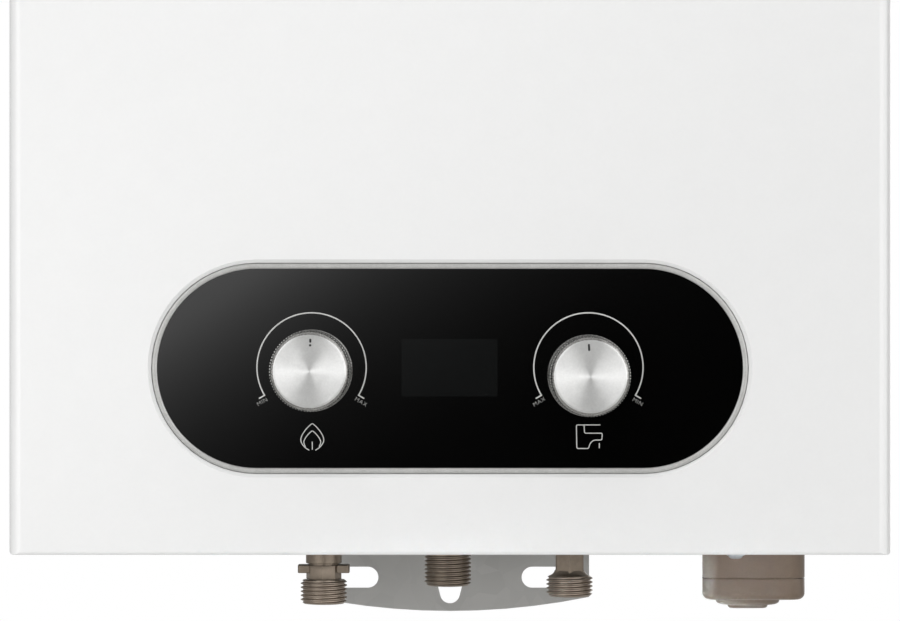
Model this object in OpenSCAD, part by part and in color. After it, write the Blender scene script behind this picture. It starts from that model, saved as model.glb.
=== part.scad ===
// Wall-hung tankless gas water heater, in millimetres.
// The wall is the plane Y = 0, the front faces -Y and Z = 0 is the lower edge of the casing.

/* [Casing] */
// Width of the casing
case_w = 381.7; // [366:0.1:440]
// Height of the casing
case_h = 590; // [570:1:700]
// Depth of the casing from the wall to its front face
case_d = 150; // [144:1:190]
// Thickness of the cover, the bottom plate and the top plate
sheet_t = 1; // [0.8:0.1:1.3]
// Radius of the upright front edges
case_corner_r = 5.5; // [2:0.5:8]
// Radius of the level front edges
case_edge_r = 1.5; // [0.5:0.1:2.5]
// Radius of the corners seen from the front
case_view_r = 2; // [1:0.5:4]
// Width of the turned-in rim at the top and the bottom of the cover
rim_w = 16; // [12:1:22]
// Gap between the rear edge of the cover and the wall
wall_gap = 2; // [1.5:0.5:6]
// Front cover screws from the middle
cover_screw_x = 124; // [110:1:130]
// Clearance between sheet parts that slide past each other
sheet_gap = 0.3; // [0.2:0.05:0.6]

/* [Back plate] */
// Thickness of the back plate
back_t = 1.2; // [1:0.1:1.4]
// Depth of its turned side flanges
side_flange_d = 20; // [12:1:30]
// Half width of the lower wall tab
tab_half = 66; // [62:1:80]
// How far the lower tab reaches below the casing
tab_drop = 37; // [35:0.5:50]
// Radius of the lower edge of the tab
tab_arc_r = 330; // [250:5:600]
// Distance between the two long slots
slot_pitch = 92; // [80:1:96]
// Length of a long slot from end to end
slot_l = 24; // [16:1:28]
// Width of a long slot
slot_w = 10; // [6:0.5:11]
// Depth of the slot line below the casing
slot_drop = 21; // [19:0.5:24]
// Half width of the upper wall tab
top_tab_half = 46; // [42:1:60]
// Height of the upper wall tab
top_tab_h = 34; // [32:1:50]
// Distance between the two upper screw holes
top_hole_pitch = 64; // [56:1:70]
// Radius of an upper screw hole
top_hole_r = 3.5; // [2.5:0.25:5]

/* [Control panel] */
// Width of the recess in the cover
panel_w = 261.2; // [240:0.1:290]
// Height of the recess in the cover
panel_h = 94.2; // [86:0.1:100]
// Height of the panel centre above the lower edge of the casing
panel_z = 80.6; // [76:0.2:84]
// Width of the sloped edge of the recess
recess_w = 1.5; // [1:0.1:2.2]
// Depth of the sloped edge
recess_d = 1.2; // [0.8:0.1:2]
// Depth of the drawn lip behind the front face
lip_d = 4; // [3.5:0.1:4.5]
// Gap between the lip and the trim
trim_gap = 0.35; // [0.2:0.05:0.5]
// Visible width of the trim ring
trim_w = 2.3; // [1.6:0.1:3.5]
// How far the trim face sits behind the casing front
trim_set = 0.8; // [0.3:0.1:1]
// Thickness of the control glass
glass_t = 2.5; // [2:0.1:2.9]
// Gap round the control glass
glass_gap = 0.15; // [0.1:0.05:0.3]
// Width of the ledge that the glass rests on
ledge_w = 4; // [3:0.5:6]
// How far the trim flange reaches past the recess
trim_flange = 3; // [2:0.5:4]
// Thickness of the trim flange
trim_flange_t = 2; // [1.5:0.1:3]
// Distance of each dial from the middle
dial_x = 59.8; // [56:0.2:64]
// Width of the display
display_w = 46; // [36:1:52]
// Height of the display
display_h = 29; // [22:1:36]

/* [Knobs] */
// Largest diameter of a knob
knob_d = 35.4; // [30:0.1:40]
// Height of a knob
knob_h = 23.5; // [18:0.5:28]
// Gap between a knob and the glass
knob_gap = 0.6; // [0.4:0.1:1.5]
// Thickness of the aluminium cap
cap_t = 2.6; // [2.2:0.1:3.5]
// Radius of a valve stem
stem_r = 3; // [2.5:0.1:4]
// How far a stem reaches into its knob
stem_grip = 14; // [8:0.5:15]
// Flame stem below the centre of its dial
flame_drop = 1.3; // [0:0.1:3]
// Water stem below the centre of its dial
water_drop = 3.5; // [0:0.1:4]
// Running clearance of stems, rods and pins
run_gap = 0.05; // [0.03:0.01:0.1]

/* [Valves] */
// Front of the valve bonnets behind the casing front
valve_set = 38; // [34:1:42]
// Depth of the valve group
valve_d = 50; // [48:1:54]
// Radius of the gas valve body
gas_body_r = 21; // [19:0.5:23]
// Length of the gas valve body
gas_body_l = 52; // [48:1:54]
// Radius of the water valve body
water_body_r = 19; // [17:0.5:21]
// Length of the water valve body
water_body_l = 50; // [46:1:54]
// Radius of the diaphragm flanges
diaphragm_r = 23.5; // [22.5:0.1:24.5]
// Thickness of the diaphragm
diaphragm_t = 2; // [1:0.1:3]
// Radius of the push rod
rod_r = 2.5; // [2:0.1:3.5]
// Travel of the push rod
rod_travel = 4; // [3:0.1:4.5]
// Height of the lower ends of the valve ports
port_z = 30; // [24:1:36]
// Depth that a pipe end goes into its port
port_grip = 12; // [8:0.5:16]
// Thickness of the valve bracket
bracket_t = 2; // [1.5:0.1:3]
// Half width of the valve bracket
bracket_half = 94; // [90:1:100]

/* [Pipe ends] */
// Outer radius of a half-inch pipe thread
thread_r = 10.48; // [9.5:0.02:11]
// Gas inlet from the middle, to the left
gas_x = 57; // [52:0.5:62]
// Cold inlet from the middle, to the right
cold_x = 54; // [48:0.5:60]
// Hot outlet from the middle, to the left
hot_x = 1; // [-5:0.5:5]
// Gas and cold inlets behind the valve bonnets
inlet_set = 32; // [28:0.5:36]
// Hot outlet behind the casing front
hot_set = 55; // [45:1:65]
// Lower end of the gas inlet below the casing
gas_end = 26.7; // [24:0.1:36]
// Length of the gas thread
gas_thread_l = 10.7; // [8:0.1:13]
// Lower end of the hot outlet below the casing
hot_end = 17.4; // [17:0.1:30]
// Length of the hot thread
hot_thread_l = 14.4; // [10:0.1:16]
// Lower end of the cold inlet below the casing
cold_end = 23.4; // [21:0.1:34]
// Length of the cold thread
cold_thread_l = 9.1; // [7:0.1:12]
// Radius of the gas inlet collar
gas_collar_r = 8.1; // [7.6:0.1:9]
// Width of the two-lug flange of the gas inlet
lug_w = 23.3; // [21:0.1:26]
// Thickness of the two-lug flange
lug_t = 3.6; // [2.5:0.1:5]
// Depth of the gas inlet lugs
lug_d = 8.4; // [6:0.1:13]
// Width across the flats of the cold inlet stem
cold_stem_w = 12.4; // [11.6:0.1:13.4]
// Radius of the round spigot of the cold inlet
spigot_r = 7.9; // [7.4:0.1:8.6]
// Bore radius of the gas and cold pipe ends
bore_r = 5; // [4:0.1:5.4]
// Clearance of a pipe end in its port
port_gap = 0.05; // [0.03:0.01:0.15]
// Radius of the grommet holes in the bottom plate
grommet_hole_r = 12; // [11:0.25:14]

/* [Water pipes] */
// Outer radius of the copper pipe
pipe_r = 7; // [6:0.1:7.2]
// Wall of the copper pipe
pipe_wall = 0.8; // [0.6:0.1:1.2]
// Bend radius of the copper pipe
pipe_bend = 14; // [11:0.5:16]
// Distance of the rising pipes from the middle
riser_x = 142; // [132:1:146]
// Height of the low run of the hot pipe
hot_run_z = 36; // [34:0.5:36.5]

/* [Burner and exchanger] */
// Room between the casing front and the burner
front_room = 28; // [26.5:0.5:32]
// Room between the burner and the wall
rear_room = 20; // [14:0.5:22]
// Half width of the burner and the exchanger
core_half = 104.2; // [102:0.1:108]
// Height of the underside of the burner
burner_z = 150; // [146:1:160]
// Height of the burner
burner_h = 70; // [64:1:80]
// Number of burner bars
bar_count = 12; // [8:1:12]
// Distance between burner bars
bar_pitch = 16.5; // [14:0.1:16.8]
// Width of a burner head
bar_w = 12; // [10:0.25:13]
// Height of the combustion chamber
chamber_h = 114; // [80:1:120]
// Height of the exchanger
exchanger_h = 55; // [48:1:64]
// Thickness of the core sheet
core_t = 1; // [0.7:0.1:1.4]
// Distance between exchanger tubes
tube_pitch = 15; // [14.6:0.1:16]
// Distance between fins
fin_pitch = 5; // [4:0.5:8]
// Thickness of a fin
fin_t = 0.6; // [0.4:0.1:1]

/* [Flue] */
// Outer radius of the flue collar
collar_r = 55; // [45:0.5:56]
// Height of the flue collar above the casing
collar_h = 40; // [32:1:60]
// Wall of the flue collar
collar_wall = 1; // [0.8:0.1:2]
// Upper end of the hood below the casing top
hood_set = 35; // [25:1:45]

/* [Battery box] */
// Middle of the battery box from the middle of the casing
bat_x = 134.7; // [130:0.1:140]
// Width of the battery box
bat_w = 45.4; // [42:0.1:48]
// Depth of the battery box
bat_d = 76; // [74:0.5:82]
// Front of the battery box behind the casing front
bat_set = 35; // [26:1:38]
// Radius of its upright edges
bat_corner_r = 7; // [4:0.5:9]
// Radius of the lower edges of its lid
bat_edge_r = 3; // [1.5:0.1:3]
// Draft of each side of the battery box from front to rear
bat_taper = 4.6; // [0:0.1:5]
// Wall of the battery box
bat_wall = 1.6; // [1.2:0.1:2]
// Joint between box and lid below the casing
bat_seam = 12.7; // [11:0.1:16]
// Height of the lid
lid_h = 9.8; // [9:0.1:13]
// Floor of the lid
lid_floor = 1.8; // [1.4:0.1:2.2]
// Radius of a battery cell
cell_r = 16.7; // [16:0.1:17.1]
// Length of a battery cell
cell_l = 61.5; // [58:0.1:62.5]
// Distance between the cells
cell_pitch = 34.6; // [34.4:0.1:35.4]
// Thickness of a battery contact
contact_t = 0.4; // [0.3:0.05:0.6]
// Radius of the twist latch
latch_r = 14.4; // [12:0.1:16]
// Height of the twist latch without its grip
latch_h = 4.1; // [3.5:0.1:6]
// Grip of the latch below its disc
latch_grip = 2.1; // [1:0.1:3]
// Half length of the latch cam
cam_half = 8; // [6.5:0.1:8.5]
// Gap between pieces that move against each other
move_gap = 0.3; // [0.25:0.01:0.4]

/* [Hidden] */
$fn = 48;

tangent_in = 0.005;
half_w = case_w / 2;
front_y = -case_d;
inner_half = half_w - sheet_t;
flange_out = inner_half - sheet_gap;
flange_in = flange_out - back_t;
plate_half = flange_in - sheet_gap;
plate_z = 2 * sheet_t;
roof_z = case_h - 2 * sheet_t;
fold_h = 14;

trim_y = front_y + trim_set;
glass_y = trim_y + glass_t;
lip_y = front_y + lip_d;
flange_y = lip_y + trim_flange_t;
trim_w_out = panel_w - 2 * (recess_w + trim_gap);
trim_h_out = panel_h - 2 * (recess_w + trim_gap);
glass_w = trim_w_out - 2 * trim_w;
glass_h = trim_h_out - 2 * trim_w;
carrier_half = 32;
carrier_t = 2;
carrier_h = panel_h + 2 * trim_flange;
board_t = 1.6;

dial_z = panel_z + 0.4;
flame_z = dial_z - flame_drop;
water_z = dial_z - water_drop;
knob_y = trim_y - knob_gap;
knob_r = knob_d / 2;

valve_y = front_y + valve_set;
valve_rear = valve_y + valve_d;
link_y = valve_y + 26;
link_z = (flame_z + water_z) / 2;
inlet_y = valve_y + inlet_set;
hot_y = front_y + hot_set;
gas_end_x = -dial_x + gas_body_l / 2;
water_end_x = dial_x - water_body_l / 2;
flange_x = water_end_x - 10;
membrane_x = flange_x - diaphragm_t;
hood_x = membrane_x - 8 - rod_travel;
plate_x = membrane_x - move_gap - 2;
disc_x = gas_end_x - 13.2;
collar_x = -12;
pivot_x = collar_x - move_gap - 0.4;
pivot_z = link_z + 16;
hand_y = link_y + 1;
bracket_z0 = port_z + 24;
bracket_z1 = link_z + 26.5;

core_y0 = front_y + front_room;
core_y1 = -rear_room;
core_cy = (core_y0 + core_y1) / 2;
side_t = 1.2;
venturi_z = burner_z + 15;
side_top = burner_z + burner_h + 1;
exchanger_z = side_top + chamber_h;
hood_z = exchanger_z + exchanger_h;
tube_z = exchanger_z + exchanger_h / 2;
tube_end = core_half + 6;
cuff_gap = 0.05;
manifold_y0 = core_y0 - 19;
manifold_y1 = core_y0 - 7;
spark_z = side_top + 11;
wire_y = core_y0 - 14;
spark_x = 30;
hood_top = case_h - hood_set;
hood_half_d = collar_r + 5;
riser_cold_y = core_cy - 2 * tube_pitch;
riser_hot_y = core_cy + 2 * tube_pitch;

bat_y0 = front_y + bat_set;
bat_y1 = bat_y0 + bat_d;
bat_cy = (bat_y0 + bat_y1) / 2;
bat_front = [bat_w / 2 - bat_corner_r, bat_y0 + bat_corner_r];
bat_rear = [bat_front.x - bat_taper, bat_y1 - bat_corner_r];
rib_out = bat_w / 2 - bat_wall - bat_taper * (bat_cy - bat_front.y) / (bat_rear.y - bat_front.y);
lid_z0 = -bat_seam - lid_h;
floor_z = lid_z0 + lid_floor;
cell_z = -bat_seam + 1.2;
cell_top = cell_z + cell_l;
bat_top = cell_top + contact_t + bat_wall;
cam_gap = cam_half + move_gap;
hinge_y = bat_y1 + 4;
hinge_z = -bat_seam + 3.7;
ear_in = bat_rear.x - 3.2;
pin_r = 1.5;

box_x0 = -half_w + 18;
box_x1 = box_x0 + 50;
lead_x = -riser_x - pipe_r - 4;
box_z0 = 60;
box_z1 = 130;
lead_r = 1.2;
screw_r = 1.9;
screw_gap = 0.1;

// Box between two opposite corners
module block(lo, hi) { translate(lo) cube(hi - lo); }
// Round bars along X, Y and Z
module bar_x(r, x0, x1, y, z) { translate([x0, y, z]) rotate([0, 90, 0]) cylinder(r = r, h = x1 - x0); }
module bar_y(r, y0, y1, x, z) { translate([x, y1, z]) rotate([90, 0, 0]) cylinder(r = r, h = y1 - y0); }
module bar_z(r, z0, z1, x, y) { translate([x, y, z0]) cylinder(r = r, h = z1 - z0); }
// Outlines pushed along X and Y
module along_x(x0, x1) { translate([x0, 0, 0]) rotate([90, 0, 90]) linear_extrude(x1 - x0) children(); }
module along_y(y0, y1) { translate([0, y1, 0]) rotate([90, 0, 0]) linear_extrude(y1 - y0) children(); }
// Rectangle with round corners
module rounded(lo, hi, r) {
  translate([lo.x + r, lo.y]) square([hi.x - lo.x - 2 * r, hi.y - lo.y]);
  translate([lo.x, lo.y + r]) square([hi.x - lo.x, hi.y - lo.y - 2 * r]);
  for (x = [lo.x + r, hi.x - r], y = [lo.y + r, hi.y - r]) translate([x, y]) circle(r);
}
// Straight sides with half-round ends
module stadium(w, h) {
  square([w - h, h], center = true);
  for (s = [-1, 1]) translate([s * (w - h) / 2, 0]) circle(h / 2);
}
// The panel outline between two depths
module pill(w, h, y0, y1) { along_y(y0, y1) translate([0, panel_z]) stadium(w, h); }
// The panel outline with a sloped edge
module pill_slope(w, h, inset, y0, y1) {
  for (s = [-1, 1]) translate([s * (w - h) / 2, y1, panel_z]) rotate([90, 0, 0])
    cylinder(r1 = h / 2 - inset, r2 = h / 2, h = y1 - y0);
  along_x(-(w - h) / 2, (w - h) / 2) polygon([[y0, panel_z - h / 2], [y0, panel_z + h / 2],
    [y1, panel_z + h / 2 - inset], [y1, panel_z - h / 2 + inset]]);
}
// Pear-shaped hole: a small round and a large round with their common tangents
module pear(r0, z0, r1, z1) {
  s = (r1 - r0) / abs(z1 - z0);
  c = sqrt(1 - s * s);
  d = sign(z1 - z0);
  // The sides end just inside the circles, so that no edge only touches an arc
  a = r0 - tangent_in;
  b = r1 - tangent_in;
  translate([0, z0]) circle(r0);
  translate([0, z1]) circle(r1);
  polygon([[a * c, z0 - d * a * s], [b * c, z1 - d * b * s],
    [-b * c, z1 - d * b * s], [-a * c, z0 - d * a * s]]);
}
// Round bar or pipe along a route of straight legs and quarter bends
function unit(v) = v / norm(v);
function frame_on(p, d) = let (s = abs(d.z) > 0.5 ? [1, 0, 0] : [0, 0, 1], u = cross(s, d), v = cross(d, u))
  [[u.x, v.x, d.x, p.x], [u.y, v.y, d.y, p.y], [u.z, v.z, d.z, p.z], [0, 0, 0, 1]];
module leg(a, b, r) { multmatrix(frame_on(a, unit(b - a))) cylinder(r = r, h = norm(b - a)); }
module elbow(p, u, v, r, bend) {
  c = p - bend * u + bend * v;
  w = cross(u, v);
  multmatrix([[-v.x, u.x, w.x, c.x], [-v.y, u.y, w.y, c.y], [-v.z, u.z, w.z, c.z], [0, 0, 0, 1]])
    rotate_extrude(angle = 90) translate([bend, 0]) circle(r);
}
module route(points, r, bend) {
  n = len(points);
  for (i = [0 : n - 2]) {
    d = unit(points[i + 1] - points[i]);
    leg(points[i] + (i > 0 ? bend : 0) * d, points[i + 1] - (i < n - 2 ? bend : 0) * d, r);
  }
  if (n > 2) for (i = [1 : n - 2])
    elbow(points[i], unit(points[i] - points[i - 1]), unit(points[i + 1] - points[i]), r, bend);
}
module pipe_run(points, r, wall, bend) { difference() { route(points, r, bend); route(points, r - wall, bend); } }
// Screw along +Y with its head in front of y
module screw_y(x, y, z, l) {
  bar_y(3.4, y - 2.2, y, x, z);
  bar_y(screw_r, y, y + l, x, z);
}

// White cover: front, two sides and turned-in rims
module front_cover() {
  color("white") difference() {
    union() {
      difference() {
        intersection() {
          linear_extrude(case_h) rounded([-half_w, front_y], [half_w, 20], case_corner_r);
          along_y(front_y, -wall_gap) rounded([-half_w, 0], [half_w, case_h], case_view_r);
          along_x(-half_w - 1, half_w + 1) rounded([front_y, 0], [20, case_h], case_edge_r);
        }
        translate([0, 0, sheet_t]) linear_extrude(case_h - 2 * sheet_t)
          rounded([-inner_half, front_y + sheet_t], [inner_half, 20], case_corner_r - sheet_t);
        block([-half_w + rim_w, front_y + rim_w, -1], [half_w - rim_w, 1, case_h + 1]);
      }
      pill(panel_w + 2, panel_h + 2, front_y + sheet_t / 2, lip_y);
    }
    pill_slope(panel_w, panel_h, recess_w, front_y, front_y + recess_d);
    pill(panel_w - 2 * recess_w, panel_h - 2 * recess_w, front_y + recess_d - 0.1, lip_y + 1);
    pill(panel_w, panel_h, front_y - 1, front_y);
    for (p = concat(low_points(), top_points()))
      bar_z(screw_r + screw_gap, p.z - sheet_t - 1, p.z + sheet_t + 1, p.x, p.y);
  }
}

// Galvanised back plate with side flanges and two wall tabs
module back_plate() {
  color("silver") difference() {
    union() {
      block([-flange_out, -back_t, 0], [flange_out, 0, case_h]);
      for (s = [-1, 1]) block([s > 0 ? flange_in : -flange_out, -side_flange_d, sheet_t + sheet_gap],
        [s > 0 ? flange_out : -flange_in, 0, case_h - sheet_t - sheet_gap]);
      along_y(-back_t, 0) intersection() {
        translate([-tab_half, -tab_drop - 1]) square([2 * tab_half, tab_drop + 2]);
        translate([0, tab_arc_r - tab_drop]) circle(tab_arc_r, $fn = 180);
      }
      along_y(-back_t, 0) rounded([-top_tab_half, case_h - 20], [top_tab_half, case_h + top_tab_h], 8);
    }
    along_y(-back_t - 1, 1) for (s = [-1, 1]) translate([s * slot_pitch / 2, -slot_drop]) stadium(slot_l, slot_w);
    along_y(-back_t - 1, 1) pear(4.7, -tab_drop + 8.3, 7, -tab_drop + 17.5);
    along_y(-back_t - 1, 1) pear(3.2, case_h + 24, 6, case_h + 12);
    for (s = [-1, 1]) bar_y(top_hole_r, -back_t - 1, 1, s * top_hole_pitch / 2, case_h + 22);
    for (p = chassis_points()) bar_y(screw_r + screw_gap, -back_t - 1, 1, p.x, p.z);
  }
}
// Where screws hold the inner frame to the back plate: place and front face of what they hold
function chassis_points() = concat(
  [for (x = [-150, 0, 150]) [x, -back_t - sheet_t, plate_z + 8]],
  [for (x = [-150, 0, 150]) [x, -back_t - sheet_t, roof_z - 8]],
  [for (s = [-1, 1], z = [bracket_z0 + 8, bracket_z1 - 8]) [s * (bracket_half + 7), -back_t - bracket_t, z]],
  [for (s = [-1, 1], z = [burner_z + 16, burner_z + 54]) [s * (core_half + 7), -back_t - side_t, z]],
  [for (z = [box_z0 - 5, box_z1 + 5]) [(box_x0 + box_x1) / 2, -back_t - 2, z]]);
module chassis_screws() { color("gainsboro") for (p = chassis_points()) screw_y(p.x, p.y, p.z, -0.2 - p.y); }
module cover_screws() {
  color("gainsboro") {
    for (p = low_points()) {
      bar_z(3.6, -2.2, 0, p.x, p.y);
      bar_z(screw_r, 0, 8, p.x, p.y);
    }
    for (p = top_points()) {
      bar_z(3.6, p.z, p.z + 2.2, p.x, p.y);
      bar_z(screw_r, p.z - 8, p.z, p.x, p.y);
    }
  }
}
// Where screws hold the cover: one at the lower front, one at the lower left, two at the top
function low_points() = [[cover_screw_x, front_y + rim_w / 2, 0], [-half_w + rim_w / 2, -40, 0]];
function top_points() = [for (s = [-1, 1]) [s * cover_screw_x, front_y + rim_w / 2, case_h]];

// Bottom plate with holes for the pipe ends, the battery box and the air
module plate_sheet() {
  linear_extrude(sheet_t) intersection() {
    rounded([-plate_half, front_y + sheet_t + sheet_gap], [plate_half, 20], case_corner_r - sheet_t);
    translate([-plate_half - 1, front_y]) square([2 * plate_half + 2, -back_t - front_y]);
  }
}
module bottom_plate() {
  color("lightgray") difference() {
    union() {
      translate([0, 0, sheet_t]) plate_sheet();
      block([-plate_half, -back_t - sheet_t, sheet_t], [plate_half, -back_t, plate_z + fold_h]);
    }
    bar_z(grommet_hole_r, -1, plate_z + 1, -gas_x, inlet_y);
    bar_z(grommet_hole_r, -1, plate_z + 1, cold_x, inlet_y);
    bar_z(thread_r + sheet_gap, -1, plate_z + 1, -hot_x, hot_y);
    translate([0, 0, -1]) linear_extrude(plate_z + 2) bat_plan(sheet_gap);
    for (i = [0 : 5]) translate([-124, -34 - 16 * i, -1]) linear_extrude(plate_z + 2) stadium(70, 6);
    for (p = low_points()) bar_z(screw_r + screw_gap, -1, plate_z + 1, p.x, p.y);
    for (x = [-150, 0, 150]) bar_y(screw_r + screw_gap, -back_t - sheet_t - 1, 0, x, plate_z + 8);
  }
}
module top_plate() {
  color("lightgray") difference() {
    union() {
      translate([0, 0, roof_z]) plate_sheet();
      block([-plate_half, -back_t - sheet_t, roof_z - fold_h], [plate_half, -back_t, roof_z + sheet_t]);
    }
    bar_z(collar_r + sheet_gap, roof_z - 1, case_h, 0, core_cy);
    for (s = [-1, 1], i = [0 : 5]) translate([s * 118, -30 - 16 * i, roof_z - 1])
      linear_extrude(sheet_t + 2) stadium(84, 6);
    for (p = top_points()) bar_z(screw_r + screw_gap, roof_z - 1, case_h, p.x, p.y);
    for (x = [-150, 0, 150]) bar_y(screw_r + screw_gap, -back_t - sheet_t - 1, 0, x, roof_z - 8);
  }
}

// Trim ring with a ledge for the glass and a flange behind the lip
module control_trim() {
  color("silver") difference() {
    union() {
      pill(trim_w_out, trim_h_out, trim_y, flange_y);
      pill(panel_w + 2 * trim_flange, panel_h + 2 * trim_flange, lip_y, flange_y);
    }
    pill(glass_w + 2 * glass_gap, glass_h + 2 * glass_gap, trim_y - 1, glass_y);
    pill(glass_w - 2 * ledge_w, glass_h - 2 * ledge_w, glass_y - 1, flange_y + 1);
    for (s = [-1, 1], t = [-1, 1])
      bar_y(1.3, lip_y - 1, flange_y + 1, s * 24, panel_z + t * (carrier_h / 2 - 3));
  }
}
module control_glass() {
  color("black") difference() {
    pill(glass_w, glass_h, trim_y, glass_y);
    bar_y(stem_r + 2, trim_y - 1, glass_y + 1, -dial_x, flame_z);
    bar_y(stem_r + 2, trim_y - 1, glass_y + 1, dial_x, water_z);
  }
}
module display_carrier() {
  color("dimgray") difference() {
    along_y(flange_y, flange_y + carrier_t)
      rounded([-carrier_half, panel_z - carrier_h / 2], [carrier_half, panel_z + carrier_h / 2], 4);
    block([-20, flange_y - 1, panel_z - 17], [20, flange_y + carrier_t + 1, panel_z - 5]);
    for (s = [-1, 1], t = [-1, 1])
      bar_y(1.3, flange_y - 1, flange_y + carrier_t + 1, s * 24, panel_z + t * (carrier_h / 2 - 3));
  }
}
module display_module() {
  color("seagreen") union() {
    block([-29, flange_y - board_t, panel_z - 20], [29, flange_y, panel_z + 20]);
    block([-display_w / 2, glass_y + 0.2, panel_z - display_h / 2],
      [display_w / 2, flange_y - board_t, panel_z + display_h / 2]);
  }
}
module panel_screws() {
  color("gainsboro") for (s = [-1, 1], t = [-1, 1]) translate([s * 24, 0, panel_z + t * (carrier_h / 2 - 3)]) {
    bar_y(2.4, flange_y + carrier_t, flange_y + carrier_t + 1.8, 0, 0);
    bar_y(1.25, flange_y - trim_flange_t + 0.2, flange_y + carrier_t, 0, 0);
  }
}

// Aluminium cap: rim, knurled side, bevel and spun face
module knob_cap(x, z) {
  f = knob_h;
  translate([x, knob_y, z]) rotate([90, 0, 0]) difference() {
    rotate_extrude() polygon([[0, 0], [knob_r, 0], [knob_r, 2.4], [knob_r - 0.6, 3], [knob_r - 1, f - 2.6],
      [knob_r - 3.2, f - 0.3], [knob_r - 3.6, f - 0.3], [knob_r - 3.9, f], [0, f]]);
    translate([0, 0, -1]) cylinder(r = knob_r - cap_t - 1, h = f - cap_t + 1);
  }
}
// Moulded core: sleeve, hub, ribs and a bore with a flat
module knob_core(x, z) {
  top = knob_h - cap_t - 0.1;
  out = knob_r - cap_t - 1.1;
  translate([x, knob_y, z]) rotate([90, 0, 0]) difference() {
    union() {
      difference() {
        translate([0, 0, 0.5]) cylinder(r = out, h = top - 0.5);
        translate([0, 0, -1]) cylinder(r = out - 1.8, h = top - 2);
      }
      translate([0, 0, 1]) cylinder(r = stem_r + 2.4, h = top - 1.5);
      for (a = [0, 90]) rotate(a) translate([-out + 1, -0.8, 3]) cube([2 * out - 2, 1.6, top - 4]);
    }
    stem_shape(-1, stem_grip + 0.3, port_gap);
  }
}
// Round stem with a flat near its front end
module stem_shape(z0, z1, gap) {
  difference() {
    translate([0, 0, z0]) cylinder(r = stem_r + gap, h = z1 - z0);
    translate([-10, stem_r - 0.9 + gap, 2]) cube([20, 10, 40]);
  }
}
module valve_stem(x, z) { translate([x, knob_y, z]) rotate([90, 0, 0]) stem_shape(knob_y - valve_y - 15.5, stem_grip, 0); }
module flame_knob() { color("lightsteelblue") knob_cap(-dial_x, flame_z); }
module water_knob() { color("lightsteelblue") knob_cap(dial_x, water_z); }
module flame_core() { color("dimgray") knob_core(-dial_x, flame_z); }
module water_core() { color("dimgray") knob_core(dial_x, water_z); }
module flame_stem() { color("goldenrod") valve_stem(-dial_x, flame_z); }
module water_stem() { color("goldenrod") valve_stem(dial_x, water_z); }

// Gas valve: body, bonnet, inlet port, outlet, guide of the push rod and rear pad
module gas_valve_body() {
  color("lightgray") difference() {
    union() {
      bar_x(gas_body_r, -dial_x - gas_body_l / 2, gas_end_x, link_y, link_z);
      bar_y(13, valve_y, link_y, -dial_x, flame_z);
      bar_z(13, port_z, link_z, -gas_x, inlet_y);
      bar_z(9, link_z, link_z + 27, -dial_x, link_y);
      bar_x(8, gas_end_x - 1, gas_end_x + 5, link_y, link_z);
      block([-dial_x - 22, link_y + 6, link_z - 16], [-dial_x + 22, valve_rear, link_z + 16]);
    }
    bar_y(stem_r + run_gap, valve_y - 1, valve_y + 16, -dial_x, flame_z);
    bar_z(gas_collar_r + port_gap, port_z - 1, port_z + port_grip + 0.2, -gas_x, inlet_y);
    bar_z(6 + port_gap, link_z + 19, link_z + 28, -dial_x, link_y);
    bar_x(10, gas_end_x - 16 - rod_travel, gas_end_x - 4, link_y, link_z);
    bar_x(rod_r + run_gap, gas_end_x - 5, gas_end_x + 6, link_y, link_z);
    for (s = [-1, 1]) bar_y(screw_r + screw_gap, valve_rear - 10, valve_rear + 1, -dial_x + s * 14, link_z);
  }
}
// Water valve: body, bonnet, inlet port, outlet, diaphragm flange and rear pad
module water_valve_body() {
  color("goldenrod") difference() {
    union() {
      bar_x(water_body_r, water_end_x, dial_x + water_body_l / 2, link_y, link_z);
      bar_y(13, valve_y, link_y, dial_x, water_z);
      bar_z(12, port_z, link_z, cold_x, inlet_y);
      bar_x(10, dial_x, dial_x + water_body_l / 2 + 7, riser_cold_y, link_z);
      bar_x(diaphragm_r, flange_x, water_end_x, link_y, link_z);
      block([dial_x - 22, link_y + 6, link_z - 15], [dial_x + 22, valve_rear, link_z + 15]);
    }
    bar_y(stem_r + run_gap, valve_y - 1, valve_y + 16, dial_x, water_z);
    bar_z(spigot_r + port_gap, port_z - 1, port_z + port_grip + 0.2, cold_x, inlet_y);
    bar_x(pipe_r + port_gap, dial_x + water_body_l / 2 - 5, dial_x + water_body_l / 2 + 8, riser_cold_y, link_z);
    for (s = [-1, 1]) bar_y(screw_r + screw_gap, valve_rear - 10, valve_rear + 1, dial_x + s * 14, link_z);
    flange_holes(flange_x - 1, flange_x + 7);
  }
}
module flange_holes(x0, x1) {
  for (a = [45 : 90 : 315])
    bar_x(screw_r + screw_gap, x0, x1, link_y + 20.7 * cos(a), link_z + 20.7 * sin(a));
}
module diaphragm() {
  color("dimgray") difference() {
    bar_x(diaphragm_r, membrane_x, flange_x, link_y, link_z);
    flange_holes(membrane_x - 1, flange_x + 1);
  }
}
module diaphragm_cover() {
  color("goldenrod") difference() {
    union() {
      bar_x(diaphragm_r, hood_x, membrane_x, link_y, link_z);
      bar_x(10, hood_x - 6, hood_x + 1, link_y, link_z);
    }
    bar_x(18, hood_x + 4, membrane_x + 1, link_y, link_z);
    bar_x(rod_r + run_gap, hood_x - 7, hood_x + 5, link_y, link_z);
    flange_holes(hood_x - 1, membrane_x + 1);
  }
}
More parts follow.
